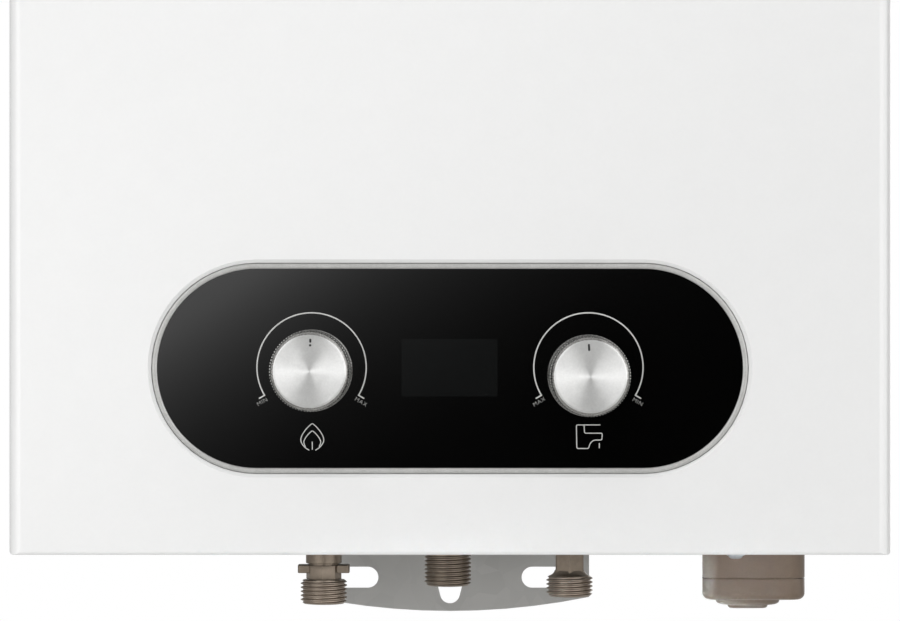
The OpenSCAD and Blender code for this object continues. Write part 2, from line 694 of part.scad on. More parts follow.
// Rod pushed by the diaphragm: plate, rod, switch collar and gas disc
module push_rod() {
  color("gainsboro") union() {
    bar_x(16, plate_x, plate_x + 2, link_y, link_z);
    bar_x(rod_r, disc_x + 1, plate_x + 1, link_y, link_z);
    bar_x(6, collar_x, collar_x + 3, link_y, link_z);
    bar_x(8, disc_x, disc_x + 2, link_y, link_z);
  }
}
module switch_body() {
  color("dimgray") difference() {
    union() {
      block([pivot_x - 19.3, hand_y - 11, pivot_z - 3], [pivot_x - 4.8, valve_rear, pivot_z + 9.5]);
      for (s = [-1, 1]) block([pivot_x - 5, hand_y + s * 9.5 - 1.5, pivot_z - 3], [pivot_x + 3, hand_y + s * 9.5 + 1.5, pivot_z + 3]);
    }
    bar_y(1.2 + run_gap, hand_y - 12, hand_y + 12, pivot_x, pivot_z);
  }
}
module switch_lever() {
  color("gainsboro") union() {
    bar_y(1.2, hand_y - 11, hand_y + 11, pivot_x, pivot_z);
    bar_y(2, hand_y - 7.5, hand_y + 7.5, pivot_x, pivot_z);
    block([pivot_x - 0.4, hand_y - 7.5, pivot_z - 13], [pivot_x + 0.4, hand_y + 7.5, pivot_z]);
  }
}
// Bracket that carries both valves in front of the back plate
module valve_bracket() {
  color("silver") difference() {
    union() {
      block([-bracket_half, valve_rear, bracket_z0], [bracket_half, valve_rear + bracket_t, bracket_z1]);
      for (s = [-1, 1]) {
        block([s > 0 ? bracket_half - bracket_t : -bracket_half, valve_rear, bracket_z0],
          [s > 0 ? bracket_half : -bracket_half + bracket_t, -back_t, bracket_z1]);
        block([s > 0 ? bracket_half - bracket_t : -bracket_half - 14, -back_t - bracket_t, bracket_z0],
          [s > 0 ? bracket_half + 14 : -bracket_half + bracket_t, -back_t, bracket_z1]);
      }
    }
    for (s = [-1, 1], t = [-14, 14])
      bar_y(screw_r + screw_gap, valve_rear - 1, valve_rear + bracket_t + 1, s * dial_x + t, link_z);
    for (s = [-1, 1], z = [bracket_z0 + 8, bracket_z1 - 8])
      bar_y(screw_r + screw_gap, -back_t - bracket_t - 1, 0, s * (bracket_half + 7), z);
  }
}
module valve_screws() {
  color("gainsboro") {
    for (s = [-1, 1], t = [-14, 14]) translate([s * dial_x + t, 0, link_z]) {
      bar_y(3.4, valve_rear + bracket_t, valve_rear + bracket_t + 2.2, 0, 0);
      bar_y(screw_r, valve_rear - 9, valve_rear + bracket_t, 0, 0);
    }
    for (a = [45 : 90 : 315]) translate([0, link_y + 20.7 * cos(a), link_z + 20.7 * sin(a)]) {
      bar_x(2.7, hood_x - 2, hood_x, 0, 0);
      bar_x(screw_r, hood_x, flange_x + 6, 0, 0);
    }
  }
}

// Pipe ends below the casing
module gas_inlet() {
  t = -gas_end + gas_thread_l;
  lug = t + 3.2;
  color("tan") difference() {
    union() {
      bar_z(thread_r, -gas_end, t, -gas_x, inlet_y);
      translate([-gas_x, inlet_y, t]) rotate(-4) cylinder(r = gas_collar_r - 0.1, h = 3.2 + lug_t, $fn = 8);
      translate([-gas_x, inlet_y, lug]) linear_extrude(lug_t) stadium(lug_w, lug_d);
      bar_z(gas_collar_r, lug + lug_t, port_z + port_grip, -gas_x, inlet_y);
    }
    bar_z(bore_r, -gas_end - 1, port_z + port_grip + 1, -gas_x, inlet_y);
  }
}
module hot_outlet() {
  color("tan") difference() {
    union() {
      bar_z(thread_r, -hot_end, -hot_end + hot_thread_l, -hot_x, hot_y);
      bar_z(thread_r - 0.5, -hot_end + 1, 14, -hot_x, hot_y);
      translate([-hot_x, hot_y, plate_z]) cylinder(r = 14, h = 6, $fn = 6);
    }
    bar_z(pipe_r + port_gap, -hot_end - 1, 15, -hot_x, hot_y);
  }
}
module cold_inlet() {
  t = -cold_end + cold_thread_l;
  color("tan") difference() {
    union() {
      bar_z(thread_r, -cold_end, t, cold_x, inlet_y);
      translate([cold_x, inlet_y, t]) cylinder(r1 = thread_r - 1, r2 = cold_stem_w / 2 - 0.6, h = 2.5);
      translate([cold_x, inlet_y, t - 1]) rotate(30)
        cylinder(r = cold_stem_w / 2 / cos(30), h = port_z - 2 - t, $fn = 6);
      bar_z(spigot_r, port_z - 4, port_z + port_grip, cold_x, inlet_y);
    }
    bar_z(bore_r, -cold_end - 1, port_z + port_grip + 1, cold_x, inlet_y);
  }
}
module grommet(x, r) {
  translate([x, inlet_y, 0]) rotate_extrude() polygon([[r, -1], [grommet_hole_r + 2, -1],
    [grommet_hole_r + 2, sheet_t - 0.05], [grommet_hole_r - 0.1, sheet_t - 0.05],
    [grommet_hole_r - 0.1, plate_z + 0.05], [grommet_hole_r + 2, plate_z + 0.05], [grommet_hole_r + 2, 4], [r, 4]]);
}
module pipe_grommets() {
  color("black") {
    grommet(-gas_x, gas_collar_r + 0.1);
    grommet(cold_x, cold_stem_w / 2 / cos(30) + 0.1);
  }
}

// Gas way to the burner
module gas_tube() {
  color("silver") pipe_run([[-dial_x, link_y, link_z + 19.2], [-dial_x, link_y, link_z + 50],
    [-dial_x, manifold_y0 + 6, link_z + 50], [-dial_x, manifold_y0 + 6, venturi_z - 3]], 6, 1, 12);
}
module gas_manifold() {
  color("lightgray") difference() {
    union() {
      block([-core_half, manifold_y0, venturi_z - 7], [core_half, manifold_y1, venturi_z + 7]);
      for (s = [-1, 1]) block([s > 0 ? core_half : -core_half - 3, manifold_y0, venturi_z - 5],
        [s > 0 ? core_half + 3 : -core_half, core_y0 + 8, venturi_z + 5]);
    }
    block([-core_half + 4, manifold_y0 + 3, venturi_z - 3], [core_half - 4, manifold_y1 - 3, venturi_z + 4]);
    bar_z(6 + port_gap, venturi_z - 8, venturi_z - 2.8, -dial_x, manifold_y0 + 6);
    for (i = [0 : bar_count - 1]) bar_y(2 + port_gap, manifold_y1 - 4, manifold_y1 + 1, bar_at(i), venturi_z);
  }
}
function bar_at(i) = (i - (bar_count - 1) / 2) * bar_pitch;
module gas_nozzles() {
  color("goldenrod") for (i = [0 : bar_count - 1]) translate([bar_at(i), 0, venturi_z]) difference() {
    union() {
      bar_y(2, manifold_y1 - 3.5, manifold_y1, 0, 0);
      translate([0, manifold_y1 + 3, 0]) rotate([90, 0, 0]) cylinder(r = 4, h = 3, $fn = 6);
      bar_y(2.4, manifold_y1 + 3, core_y0 - 1.5, 0, 0);
    }
    bar_y(0.6, manifold_y1 - 4, core_y0, 0, 0);
  }
}
module burner_bars() {
  y0 = core_y0 + 1;
  y1 = core_y1 - 3;
  top = burner_z + burner_h;
  color("gainsboro") for (i = [0 : bar_count - 1]) translate([bar_at(i), 0, 0]) difference() {
    union() {
      bar_y(6, y0, y1 - 14, 0, venturi_z);
      block([-2, y0 + 26, venturi_z], [2, y1 - 2, top - 6]);
      block([-bar_w / 2, y0 + 3, top - 14], [bar_w / 2, y1, top]);
    }
    bar_y(4.6, y0 - 1, y1 - 24, 0, venturi_z);
    for (k = [0 : 7]) block([-bar_w / 2 + 1.5, y0 + 11 + 10 * k, top - 5], [bar_w / 2 - 1.5, y0 + 13 + 10 * k, top + 1]);
  }
}
module burner_frame() {
  rail_z = venturi_z - 6.05;
  color("silver") difference() {
    union() {
      for (s = [-1, 1]) {
        block([s > 0 ? core_half - side_t : -core_half, core_y0, burner_z],
          [s > 0 ? core_half : -core_half + side_t, core_y1, side_top]);
        block([s > 0 ? core_half - side_t : -core_half, core_y1, burner_z + 8],
          [s > 0 ? core_half : -core_half + side_t, -back_t, burner_z + 62]);
        block([s > 0 ? core_half - side_t : -core_half - 14, -back_t - side_t, burner_z + 8],
          [s > 0 ? core_half + 14 : -core_half + side_t, -back_t, burner_z + 62]);
      }
      for (y = [core_y0 + 12, core_y1 - 27]) block([-core_half + side_t, y, rail_z - 4], [core_half - side_t, y + 4, rail_z]);
    }
    for (s = [-1, 1], z = [burner_z + 16, burner_z + 54])
      bar_y(screw_r + screw_gap, -back_t - side_t - 1, 0, s * (core_half + 7), z);
  }
}
module electrode_bracket() {
  color("silver") difference() {
    block([-spark_x - 12, core_y0 - 2, spark_z - 7], [spark_x + 12, core_y0, spark_z + 7]);
    for (s = [-1, 1]) bar_y(3.6, core_y0 - 3, core_y0 + 1, s * spark_x, spark_z);
  }
}
module electrode_insulators() {
  color("white") for (s = [-1, 1]) difference() {
    union() {
      bar_y(3.5, core_y0 - 12, core_y0 + 8, s * spark_x, spark_z);
      bar_y(5, core_y0 - 5, core_y0 - 2, s * spark_x, spark_z);
    }
    bar_y(1.05, core_y0 - 13, core_y0 + 9, s * spark_x, spark_z);
  }
}
module electrode_wires() {
  color("gray") for (s = [-1, 1]) route([[s * spark_x, core_y0 - 15, spark_z], [s * spark_x, core_y0 + 16, spark_z],
    [s * spark_x, core_y0 + 16, spark_z - 8]], 1, 3);
}

// Combustion chamber, fins and tubes
module core_box(z0, z1) {
  difference() {
    block([-core_half, core_y0, z0], [core_half, core_y1, z1]);
    block([-core_half + core_t, core_y0 + core_t, z0 - 1], [core_half - core_t, core_y1 - core_t, z1 + 1]);
  }
}
module combustion_chamber() {
  color("chocolate") difference() {
    core_box(side_top, exchanger_z);
    for (s = [-1, 1]) bar_y(3.6, core_y0 - 1, core_y0 + core_t + 1, s * spark_x, spark_z);
  }
}
function tube_y(i) = core_cy + (i - 2) * tube_pitch;
module tube_holes(r, x) { for (i = [0 : 4]) bar_x(r, -x, x, tube_y(i), tube_z); }
module exchanger_shell() {
  color("chocolate") difference() {
    core_box(exchanger_z, hood_z);
    tube_holes(pipe_r + cuff_gap, core_half + 1);
  }
}
module exchanger_fins() {
  n = floor((core_half - core_t - 3) / fin_pitch);
  color("peru") difference() {
    union() {
      for (i = [-n : n]) block([i * fin_pitch - fin_t / 2, core_y0 + core_t + 0.1, exchanger_z + 4],
        [i * fin_pitch + fin_t / 2, core_y1 - core_t - 0.1, hood_z - 4]);
      tube_holes(pipe_r + 0.7, core_half - core_t - 0.1);
    }
    tube_holes(pipe_r + cuff_gap, core_half);
  }
}
module exchanger_tubes() {
  color("peru") {
    for (i = [0 : 4]) difference() {
      bar_x(pipe_r, -tube_end, tube_end, tube_y(i), tube_z);
      bar_x(pipe_r - pipe_wall, -tube_end - 1, tube_end + 1, tube_y(i), tube_z);
    }
    for (i = [0 : 3]) translate([i % 2 == 0 ? -tube_end : tube_end, tube_y(i) + tube_pitch / 2, tube_z])
      rotate(i % 2 == 0 ? 90 : -90) rotate_extrude(angle = 180) translate([tube_pitch / 2, 0]) difference() {
        circle(pipe_r);
        circle(pipe_r - pipe_wall);
      }
  }
}
module cold_pipe() {
  color("peru") pipe_run([[dial_x + water_body_l / 2 - 4.8, riser_cold_y, link_z], [riser_x, riser_cold_y, link_z],
    [riser_x, riser_cold_y, tube_z], [tube_end, riser_cold_y, tube_z]], pipe_r, pipe_wall, pipe_bend);
}
module hot_pipe() {
  color("peru") pipe_run([[-tube_end, riser_hot_y, tube_z], [-riser_x, riser_hot_y, tube_z],
    [-riser_x, riser_hot_y, hot_run_z], [-hot_x, riser_hot_y, hot_run_z], [-hot_x, hot_y, hot_run_z],
    [-hot_x, hot_y, 4]], pipe_r, pipe_wall, pipe_bend);
}
module pipe_unions() {
  color("goldenrod") for (p = [[tube_end, riser_cold_y], [-tube_end, riser_hot_y]]) translate([p.x, p.y, tube_z])
    rotate([0, 90, 0]) difference() {
      translate([0, 0, -5]) cylinder(r = 7.45 / cos(30), h = 10, $fn = 6);
      translate([0, 0, -6]) cylinder(r = pipe_r + cuff_gap, h = 12);
    }
}
module limit_thermostat() {
  z = exchanger_z - 30;
  color("gainsboro") difference() {
    union() {
      bar_z(pipe_r + 2, z, z + 14, -riser_x, riser_hot_y);
      bar_x(8, -riser_x - 18, -riser_x, riser_hot_y, z + 7);
    }
    bar_z(pipe_r + cuff_gap, z - 2, z + 16, -riser_x, riser_hot_y);
  }
}

// Draught hood and flue collar
module hood_outline(inset) {
  b = core_half + 6 - inset;
  t = collar_r + 11 - inset;
  polygon([[-b, hood_z + inset], [b, hood_z + inset], [b, hood_z + 14], [t, hood_top - 40],
    [t, hood_top - inset], [-t, hood_top - inset], [-t, hood_top - 40], [-b, hood_z + 14]]);
}
module draught_hood() {
  color("silver") difference() {
    along_y(core_cy - hood_half_d, core_cy + hood_half_d) hood_outline(0);
    along_y(core_cy - hood_half_d + core_t, core_cy + hood_half_d - core_t) hood_outline(core_t);
    block([-core_half + 4, core_y0 + 4, hood_z - 1], [core_half - 4, core_y1 - 4, hood_z + 2]);
    bar_z(collar_r - collar_wall, hood_top - 3, hood_top + 1, 0, core_cy);
  }
}
module flue_collar() {
  in = collar_r - collar_wall;
  color("silver") translate([0, core_cy, 0]) rotate_extrude() polygon([[in, hood_top], [collar_r + 4.5, hood_top],
    [collar_r + 4.5, hood_top + 1.2], [collar_r, hood_top + 1.2], [collar_r, case_h + 3], [collar_r + 2, case_h + 5],
    [collar_r, case_h + 7], [collar_r, case_h + collar_h], [in, case_h + collar_h]]);
}

// Igniter box with ears, and the leads
module igniter_box() {
  color("dimgray") difference() {
    union() {
      block([box_x0, -back_t - 30, box_z0], [box_x1, -back_t, box_z1]);
      block([box_x0 + 17, -back_t - 2, box_z0 - 10], [box_x1 - 17, -back_t, box_z1 + 10]);
      block([box_x0 + 8, -back_t - 31.5, box_z0 + 10], [box_x1 - 8, -back_t - 29, box_z1 - 10]);
    }
    for (z = [box_z0 - 5, box_z1 + 5]) bar_y(screw_r + screw_gap, -back_t - 3, 0, (box_x0 + box_x1) / 2, z);
  }
}
module electrode_leads() {
  color("red") {
    route([[lead_x, -15, box_z1], [lead_x, -15, spark_z], [lead_x, wire_y, spark_z],
      [-spark_x - 1, wire_y, spark_z]], lead_r, 4);
    route([[lead_x - 6, -15, box_z1], [lead_x - 6, -15, spark_z - 6], [lead_x - 6, wire_y, spark_z - 6],
      [spark_x, wire_y, spark_z - 6], [spark_x, wire_y, spark_z - 1]], lead_r, 4);
  }
}
module battery_lead() {
  color("black") route([[bat_x + 6, bat_y1, 44], [bat_x + 6, -8, 44], [box_x1 - 4, -8, 44], [box_x1 - 4, -8, box_z0]], lead_r, 5);
}
module display_lead() {
  x = box_x1 - 8;
  color("black") route([[-8, flange_y, panel_z - 15], [-8, flange_y + 10, panel_z - 15], [-8, flange_y + 10, hot_run_z + 10],
    [x, flange_y + 10, hot_run_z + 10], [x, -20, hot_run_z + 10], [x, -20, box_z0]], lead_r, 4);
}

// Battery box with a collar that rests on the bottom plate
module bat_plan(grow) {
  r = bat_corner_r + grow;
  f = bat_front;
  b = bat_rear;
  n = (r - tangent_in) * [b.y - f.y, f.x - b.x] / norm(b - f);
  translate([bat_x, 0]) {
    polygon([[-f.x, f.y - r], [f.x, f.y - r], f + n, b + n, [b.x, b.y + r], [-b.x, b.y + r],
      [-b.x - n.x, b.y + n.y], [-f.x - n.x, f.y + n.y]]);
    for (s = [-1, 1], c = [f, b]) translate([s * c.x, c.y]) circle(r);
  }
}
module battery_box() {
  color("tan") difference() {
    union() {
      difference() {
        union() {
          translate([0, 0, -bat_seam]) linear_extrude(bat_top + bat_seam) bat_plan(0);
          translate([0, 0, plate_z]) linear_extrude(2.5) bat_plan(4);
        }
        translate([0, 0, -bat_seam - 1]) linear_extrude(bat_top - bat_wall + bat_seam + 1) bat_plan(-bat_wall);
      }
      for (s = [-1, 1]) {
        block([s > 0 ? bat_x + cam_gap : bat_x - rib_out - 0.2, bat_cy - 1, -bat_seam],
          [s > 0 ? bat_x + rib_out + 0.2 : bat_x - cam_gap, bat_cy + 1, bat_top - bat_wall]);
        block([s > 0 ? bat_x + cam_gap : bat_x - rib_out + move_gap, bat_cy - 1, -bat_seam - 3.5],
          [s > 0 ? bat_x + rib_out - move_gap : bat_x - cam_gap, bat_cy + 1, -bat_seam + 1]);
        block([bat_x + s * ear_in + (s > 0 ? 0 : -3), bat_y1 - 0.1, hinge_z - 3],
          [bat_x + s * ear_in + (s > 0 ? 3 : 0), hinge_y + 3, hinge_z + 4]);
      }
    }
    bar_x(pin_r + port_gap, bat_x - 20, bat_x + 20, hinge_y, hinge_z);
  }
}
module battery_cells() {
  color("dimgray") for (s = [-1, 1]) translate([bat_x, bat_cy + s * cell_pitch / 2, 0]) {
    bar_z(cell_r, cell_z, cell_top - 1.5, 0, 0);
    bar_z(5, cell_top - 1.6, cell_top, 0, 0);
  }
}
module upper_contacts() {
  color("gainsboro") for (s = [-1, 1])
    block([bat_x - 7, bat_cy + s * cell_pitch / 2 - 9, cell_top], [bat_x + 7, bat_cy + s * cell_pitch / 2 + 9, cell_top + contact_t]);
}
// Lid with round lower edges, a hinge knuckle and a hole for the latch
module battery_lid() {
  color("tan") difference() {
    union() {
      difference() {
        intersection() {
          translate([0, 0, lid_z0]) linear_extrude(lid_h) bat_plan(0);
          along_y(bat_y0, bat_y1) rounded([bat_x - bat_w / 2, lid_z0], [bat_x + bat_w / 2, 10], bat_edge_r);
          along_x(bat_x - bat_w / 2, bat_x + bat_w / 2) rounded([bat_y0, lid_z0], [bat_y1, 10], bat_edge_r);
        }
        translate([0, 0, floor_z]) linear_extrude(lid_h) bat_plan(-bat_wall);
      }
      bar_x(3, bat_x - ear_in + move_gap, bat_x + ear_in - move_gap, hinge_y, hinge_z);
      block([bat_x - ear_in + 1, bat_y1 + move_gap, -bat_seam - 6], [bat_x + ear_in - 1, hinge_y + 2, hinge_z]);
      block([bat_x - ear_in + 1, bat_y1 - 0.5, -bat_seam - 6],
        [bat_x + ear_in - 1, bat_y1 + 1, -bat_seam - move_gap]);
    }
    bar_x(pin_r + run_gap, bat_x - 20, bat_x + 20, hinge_y, hinge_z);
    bar_z(4 + run_gap, lid_z0 - 1, floor_z + 1, bat_x, bat_cy);
  }
}
module lid_contact() {
  color("gainsboro") difference() {
    union() {
      block([bat_x - 14, bat_cy - cell_pitch / 2 - 10, floor_z], [bat_x + 14, bat_cy + cell_pitch / 2 + 10, floor_z + contact_t]);
      for (s = [-1, 1]) translate([bat_x, bat_cy + s * cell_pitch / 2, floor_z])
        cylinder(r1 = 7, r2 = 3, h = cell_z - move_gap - floor_z);
    }
    bar_z(cam_half + 0.8, floor_z - 1, floor_z + contact_t + 0.1, bat_x, bat_cy);
  }
}
// Twist latch: disc, grip, shaft through the lid and cam between the box ribs
module battery_latch() {
  top = lid_z0 - move_gap;
  color("tan") union() {
    bar_z(latch_r, top - latch_h, top, bat_x, bat_cy);
    translate([bat_x, bat_cy, top - latch_h - latch_grip]) linear_extrude(latch_grip + 0.1) stadium(18.2, 7);
    bar_z(4, top - 1, floor_z + 1, bat_x, bat_cy);
    translate([bat_x, bat_cy, floor_z + move_gap]) linear_extrude(-bat_seam - 1.5 - floor_z - move_gap) stadium(2 * cam_half, 9);
  }
}
module hinge_pin() { color("gainsboro") bar_x(pin_r, bat_x - ear_in - 3.4, bat_x + ear_in + 3.4, hinge_y, hinge_z); }

front_cover();
back_plate();
bottom_plate();
top_plate();
control_trim();
control_glass();
display_carrier();
display_module();
panel_screws();
flame_knob();
flame_core();
flame_stem();
water_knob();
water_core();
water_stem();
gas_valve_body();
water_valve_body();
diaphragm();
diaphragm_cover();
push_rod();
switch_body();
switch_lever();
valve_bracket();
valve_screws();
gas_inlet();
hot_outlet();
cold_inlet();
pipe_grommets();
gas_tube();
gas_manifold();
gas_nozzles();
burner_bars();
burner_frame();
electrode_bracket();
electrode_insulators();
electrode_wires();
combustion_chamber();
exchanger_shell();
exchanger_fins();
exchanger_tubes();
cold_pipe();
hot_pipe();
pipe_unions();
limit_thermostat();
draught_hood();
flue_collar();
igniter_box();
electrode_leads();
battery_lead();
display_lead();
battery_box();
battery_cells();
upper_contacts();
battery_lid();
lid_contact();
battery_latch();
hinge_pin();
cover_screws();
chassis_screws();
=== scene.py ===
import math

import bmesh
import bpy
from mathutils import Matrix, Vector


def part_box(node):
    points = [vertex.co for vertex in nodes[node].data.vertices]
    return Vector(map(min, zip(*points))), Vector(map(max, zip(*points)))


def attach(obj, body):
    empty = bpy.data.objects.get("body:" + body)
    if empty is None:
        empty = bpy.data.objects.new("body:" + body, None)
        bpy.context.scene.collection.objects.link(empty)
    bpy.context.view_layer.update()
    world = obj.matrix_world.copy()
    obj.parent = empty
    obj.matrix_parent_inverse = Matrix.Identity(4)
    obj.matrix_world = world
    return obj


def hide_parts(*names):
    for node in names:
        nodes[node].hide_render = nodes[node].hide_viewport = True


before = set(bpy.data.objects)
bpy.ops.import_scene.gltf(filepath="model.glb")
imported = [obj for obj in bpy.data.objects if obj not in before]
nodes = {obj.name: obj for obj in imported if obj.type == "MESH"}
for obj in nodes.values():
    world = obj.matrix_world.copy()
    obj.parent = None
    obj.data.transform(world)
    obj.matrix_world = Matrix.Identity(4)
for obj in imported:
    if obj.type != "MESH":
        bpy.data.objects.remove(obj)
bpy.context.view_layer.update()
mm = 0.001
weld = 2e-6  # points nearer than this, in metres, are merged
flush = 1e-3  # points this near a height, in mm, lie on it
over = 1  # how far a cutter or a joined block runs past a face, in mm
facets = {"fine": 96, "bore": 72, "small": 48}  # of turned pieces
bevelCuts = {"corner": 10, "rim": 4, "flat": 3}  # segments of a rounded edge
print("frame loaded:", len(nodes), "nodes")

# camera: square to the front, level, at the middle of the picture
camera = {"place": (0, -1.65, 0.1056), "lens": 138.96, "sensor": 36, "clip": (0.05, 50)}
cameraData = bpy.data.cameras.new("frontCamera")
cameraData.lens = camera["lens"]
cameraData.sensor_width = camera["sensor"]
cameraData.clip_start, cameraData.clip_end = camera["clip"]
frontCamera = bpy.data.objects.new("frontCamera", cameraData)
frontCamera.location = camera["place"]
frontCamera.rotation_euler = (math.radians(90), 0, 0)
bpy.context.scene.collection.objects.link(frontCamera)
bpy.context.scene.camera = frontCamera
bpy.context.scene.view_settings.view_transform = "Standard"


def srgb(code):  # sRGB hex to linear colour
    parts = [int(code[i : i + 2], 16) / 255 for i in (1, 3, 5)]
    return tuple(p / 12.92 if p <= 0.04045 else ((p + 0.055) / 1.055) ** 2.4 for p in parts) + (1.0,)


def addNode(tree, kind, inputs=None, **settings):  # one node with its settings, values and links
    made = tree.nodes.new(kind)
    for key, value in settings.items():
        setattr(made, key, value)
    for key, value in (inputs or {}).items():
        if isinstance(value, bpy.types.NodeSocket):
            tree.links.new(value, made.inputs[key])
        else:
            made.inputs[key].default_value = value
    return made


# soft studio: boxes above, low in front and on the right, a cool low spot on the left, reflectors for gloss
white = (1, 1, 1)
aim = (0, -0.15, 0.1)  # what the large boxes point at
studio = {
    "ambientFront": 0.36,
    "ambientSide": 0.06,
    "ambientAbove": 0.8,
    "scrimEdge": (0.55, 0.75),  # height at which the overhead scrim begins and is full
    "glassLevel": 0.15,  # what black glass shows of the studio behind the camera, paler to the upper left
    "glassRise": 1.5,
    "glassLean": 32,
    "glassMost": 1.6,
    "frontEdge": (0.965, 0.985),  # how straight ahead that part of the studio lies
    "aboveLevel": 0.6,
    "aboveEdge": (40, 78),  # tilt in degrees from the side reflectors to what is above and below
    "glossMost": 2.35,
    "glossRound": [  # bearing from the front in degrees, right positive, and share of glossMost
        (-180, 0.2), (-100, 0.28), (-62, 0.36), (-48, 0.98), (-20, 0.98), (-12, 0.3),
        (12, 0.3), (20, 0.9), (78, 0.9), (95, 0.12), (180, 0.12),
    ],
    "floorZ": -0.25,
    "floorSize": 4,
    "boxes": [  # name, place, size, watts, colour, spread in degrees, target
        ("topBox", (-0.4, -1.75, 1.75), (1.6, 1.0), 5.5, white, 180, aim),
        ("frontBox", (-0.8, -2.2, 0.02), (1.2, 0.44), 16.5, white, 180, aim),
        ("sideBox", (1.7, -1.2, 1.2), (0.8, 1.0), 6, white, 180, aim),
        ("lowSpot", (-1.05, -0.42, -0.1), (0.06, 0.03), 0.038, (0.52, 0.78, 1), 5, (0.12, -0.1, -0.035)),
    ],
}


def buildStudio():
    scene = bpy.context.scene
    world = bpy.data.worlds.new("studioWorld")
    scene.world = world
    world.use_nodes = True
    tree = world.node_tree
    tree.nodes.clear()
    ray = addNode(tree, "ShaderNodeLightPath").outputs
    way = addNode(tree, "ShaderNodeTexCoord").outputs["Generated"]
    axes = addNode(tree, "ShaderNodeSeparateXYZ", {0: way}).outputs
    ahead = addNode(tree, "ShaderNodeMath", {0: axes["Y"], 1: -1.0}, operation="MULTIPLY").outputs[0]
    fill = addNode(  # body light, stronger from the front
        tree,
        "ShaderNodeMapRange",
        {"Value": ahead, "To Min": studio["ambientSide"], "To Max": studio["ambientFront"]},
    ).outputs[0]
    low, high = studio["scrimEdge"]
    scrim = addNode(  # and from overhead
        tree,
        "ShaderNodeMapRange",
        {"Value": axes["Z"], "From Min": low, "From Max": high, "To Max": studio["ambientAbove"]},
        interpolation_type="SMOOTHSTEP",
    ).outputs[0]
    soft = addNode(tree, "ShaderNodeMath", {0: fill, 1: scrim}, operation="ADD").outputs[0]
    lift = addNode(
        tree, "ShaderNodeMath", {0: axes["Z"], 1: studio["glassRise"]}, operation="MULTIPLY"
    ).outputs[0]
    lean = addNode(tree, "ShaderNodeMath", {0: lift, 1: axes["X"]}, operation="SUBTRACT").outputs[0]
    steep = addNode(
        tree, "ShaderNodeMath", {0: lean, 1: studio["glassLean"]}, operation="MULTIPLY"
    ).outputs[0]
    rise = addNode(tree, "ShaderNodeMath", {0: steep}, operation="EXPONENT").outputs[0]
    sheen = addNode(
        tree, "ShaderNodeMath", {0: rise, 1: studio["glassLevel"]}, operation="MULTIPLY"
    ).outputs[0]
    pale = addNode(
        tree, "ShaderNodeMath", {0: sheen, 1: studio["glassMost"]}, operation="MINIMUM"
    ).outputs[0]
    bearing = addNode(tree, "ShaderNodeMath", {0: axes["X"], 1: ahead}, operation="ARCTAN2").outputs[0]
    share = addNode(
        tree, "ShaderNodeMapRange", {"Value": bearing, "From Min": -math.pi, "From Max": math.pi}
    ).outputs[0]
    ramp = addNode(tree, "ShaderNodeValToRGB", {"Fac": share})
    for i, (degrees, level) in enumerate(studio["glossRound"]):
        spot = (degrees + 180) / 360
        stop = ramp.color_ramp.elements[0] if i == 0 else ramp.color_ramp.elements.new(spot)
        stop.position, stop.color = spot, (level, level, level, 1)
    ramp.color_ramp.elements.remove(ramp.color_ramp.elements[-1])
    level = addNode(
        tree, "ShaderNodeMath", {0: ramp.outputs["Color"], 1: studio["glossMost"]}, operation="MULTIPLY"
    ).outputs[0]
    upright = addNode(tree, "ShaderNodeMath", {0: axes["Z"]}, operation="ABSOLUTE").outputs[0]
    across = addNode(tree, "ShaderNodeMath", {0: axes["X"]}, operation="ABSOLUTE").outputs[0]
    tilt = addNode(tree, "ShaderNodeMath", {0: upright, 1: across}, operation="ARCTAN2").outputs[0]
    low, high = [math.radians(edge) for edge in studio["aboveEdge"]]
    above = addNode(
        tree,
        "ShaderNodeMapRange",
        {"Value": tilt, "From Min": low, "From Max": high},
        interpolation_type="SMOOTHSTEP",
    ).outputs[0]
    around = addNode(
        tree, "ShaderNodeMix", {0: above, 2: level, 3: studio["aboveLevel"]}, data_type="FLOAT"
    ).outputs[0]
    low, high = studio["frontEdge"]
    front = addNode(
        tree,
        "ShaderNodeMapRange",
        {"Value": ahead, "From Min": low, "From Max": high},
        interpolation_type="SMOOTHSTEP",
    ).outputs[0]
    gloss = addNode(tree, "ShaderNodeMix", {0: front, 2: around, 3: pale}, data_type="FLOAT").outputs[0]
    lit = addNode(
        tree, "ShaderNodeMix", {0: ray["Is Glossy Ray"], 2: soft, 3: gloss}, data_type="FLOAT"
    ).outputs[0]
    seen = addNode(
        tree, "ShaderNodeMath", {0: ray["Is Camera Ray"], 1: ray["Is Transmission Ray"]}, operation="MAXIMUM"
    ).outputs[0]
    shown = addNode(tree, "ShaderNodeMix", {0: seen, 2: lit, 3: 1.0}, data_type="FLOAT").outputs[0]
    glow = addNode(tree, "ShaderNodeBackground", {"Color": (1, 1, 1, 1), "Strength": shown})
    addNode(tree, "ShaderNodeOutputWorld", {"Surface": glow.outputs[0]})
    for name, place, size, watts, colour, spread, target in studio["boxes"]:
        lamp = bpy.data.lights.new(name, "AREA")
        lamp.shape = "RECTANGLE"
        lamp.size, lamp.size_y = size
        lamp.energy, lamp.color = watts, colour
        lamp.spread = math.radians(spread)
        holder = bpy.data.objects.new(name, lamp)
        holder.location = place
        holder.rotation_euler = (Vector(target) - Vector(place)).to_track_quat("-Z", "Y").to_euler()
        holder.visible_glossy = False  # gloss comes from the reflectors in the world
        scene.collection.objects.link(holder)
    bpy.ops.object.select_all(action="DESELECT")
    bpy.ops.mesh.primitive_plane_add(size=studio["floorSize"], location=(0, 0, studio["floorZ"]))
    floor = bpy.context.object
    floor.name = "paleFloor"
    floor.data.materials.append(finishes["paleFloor"])
    print("studio built")


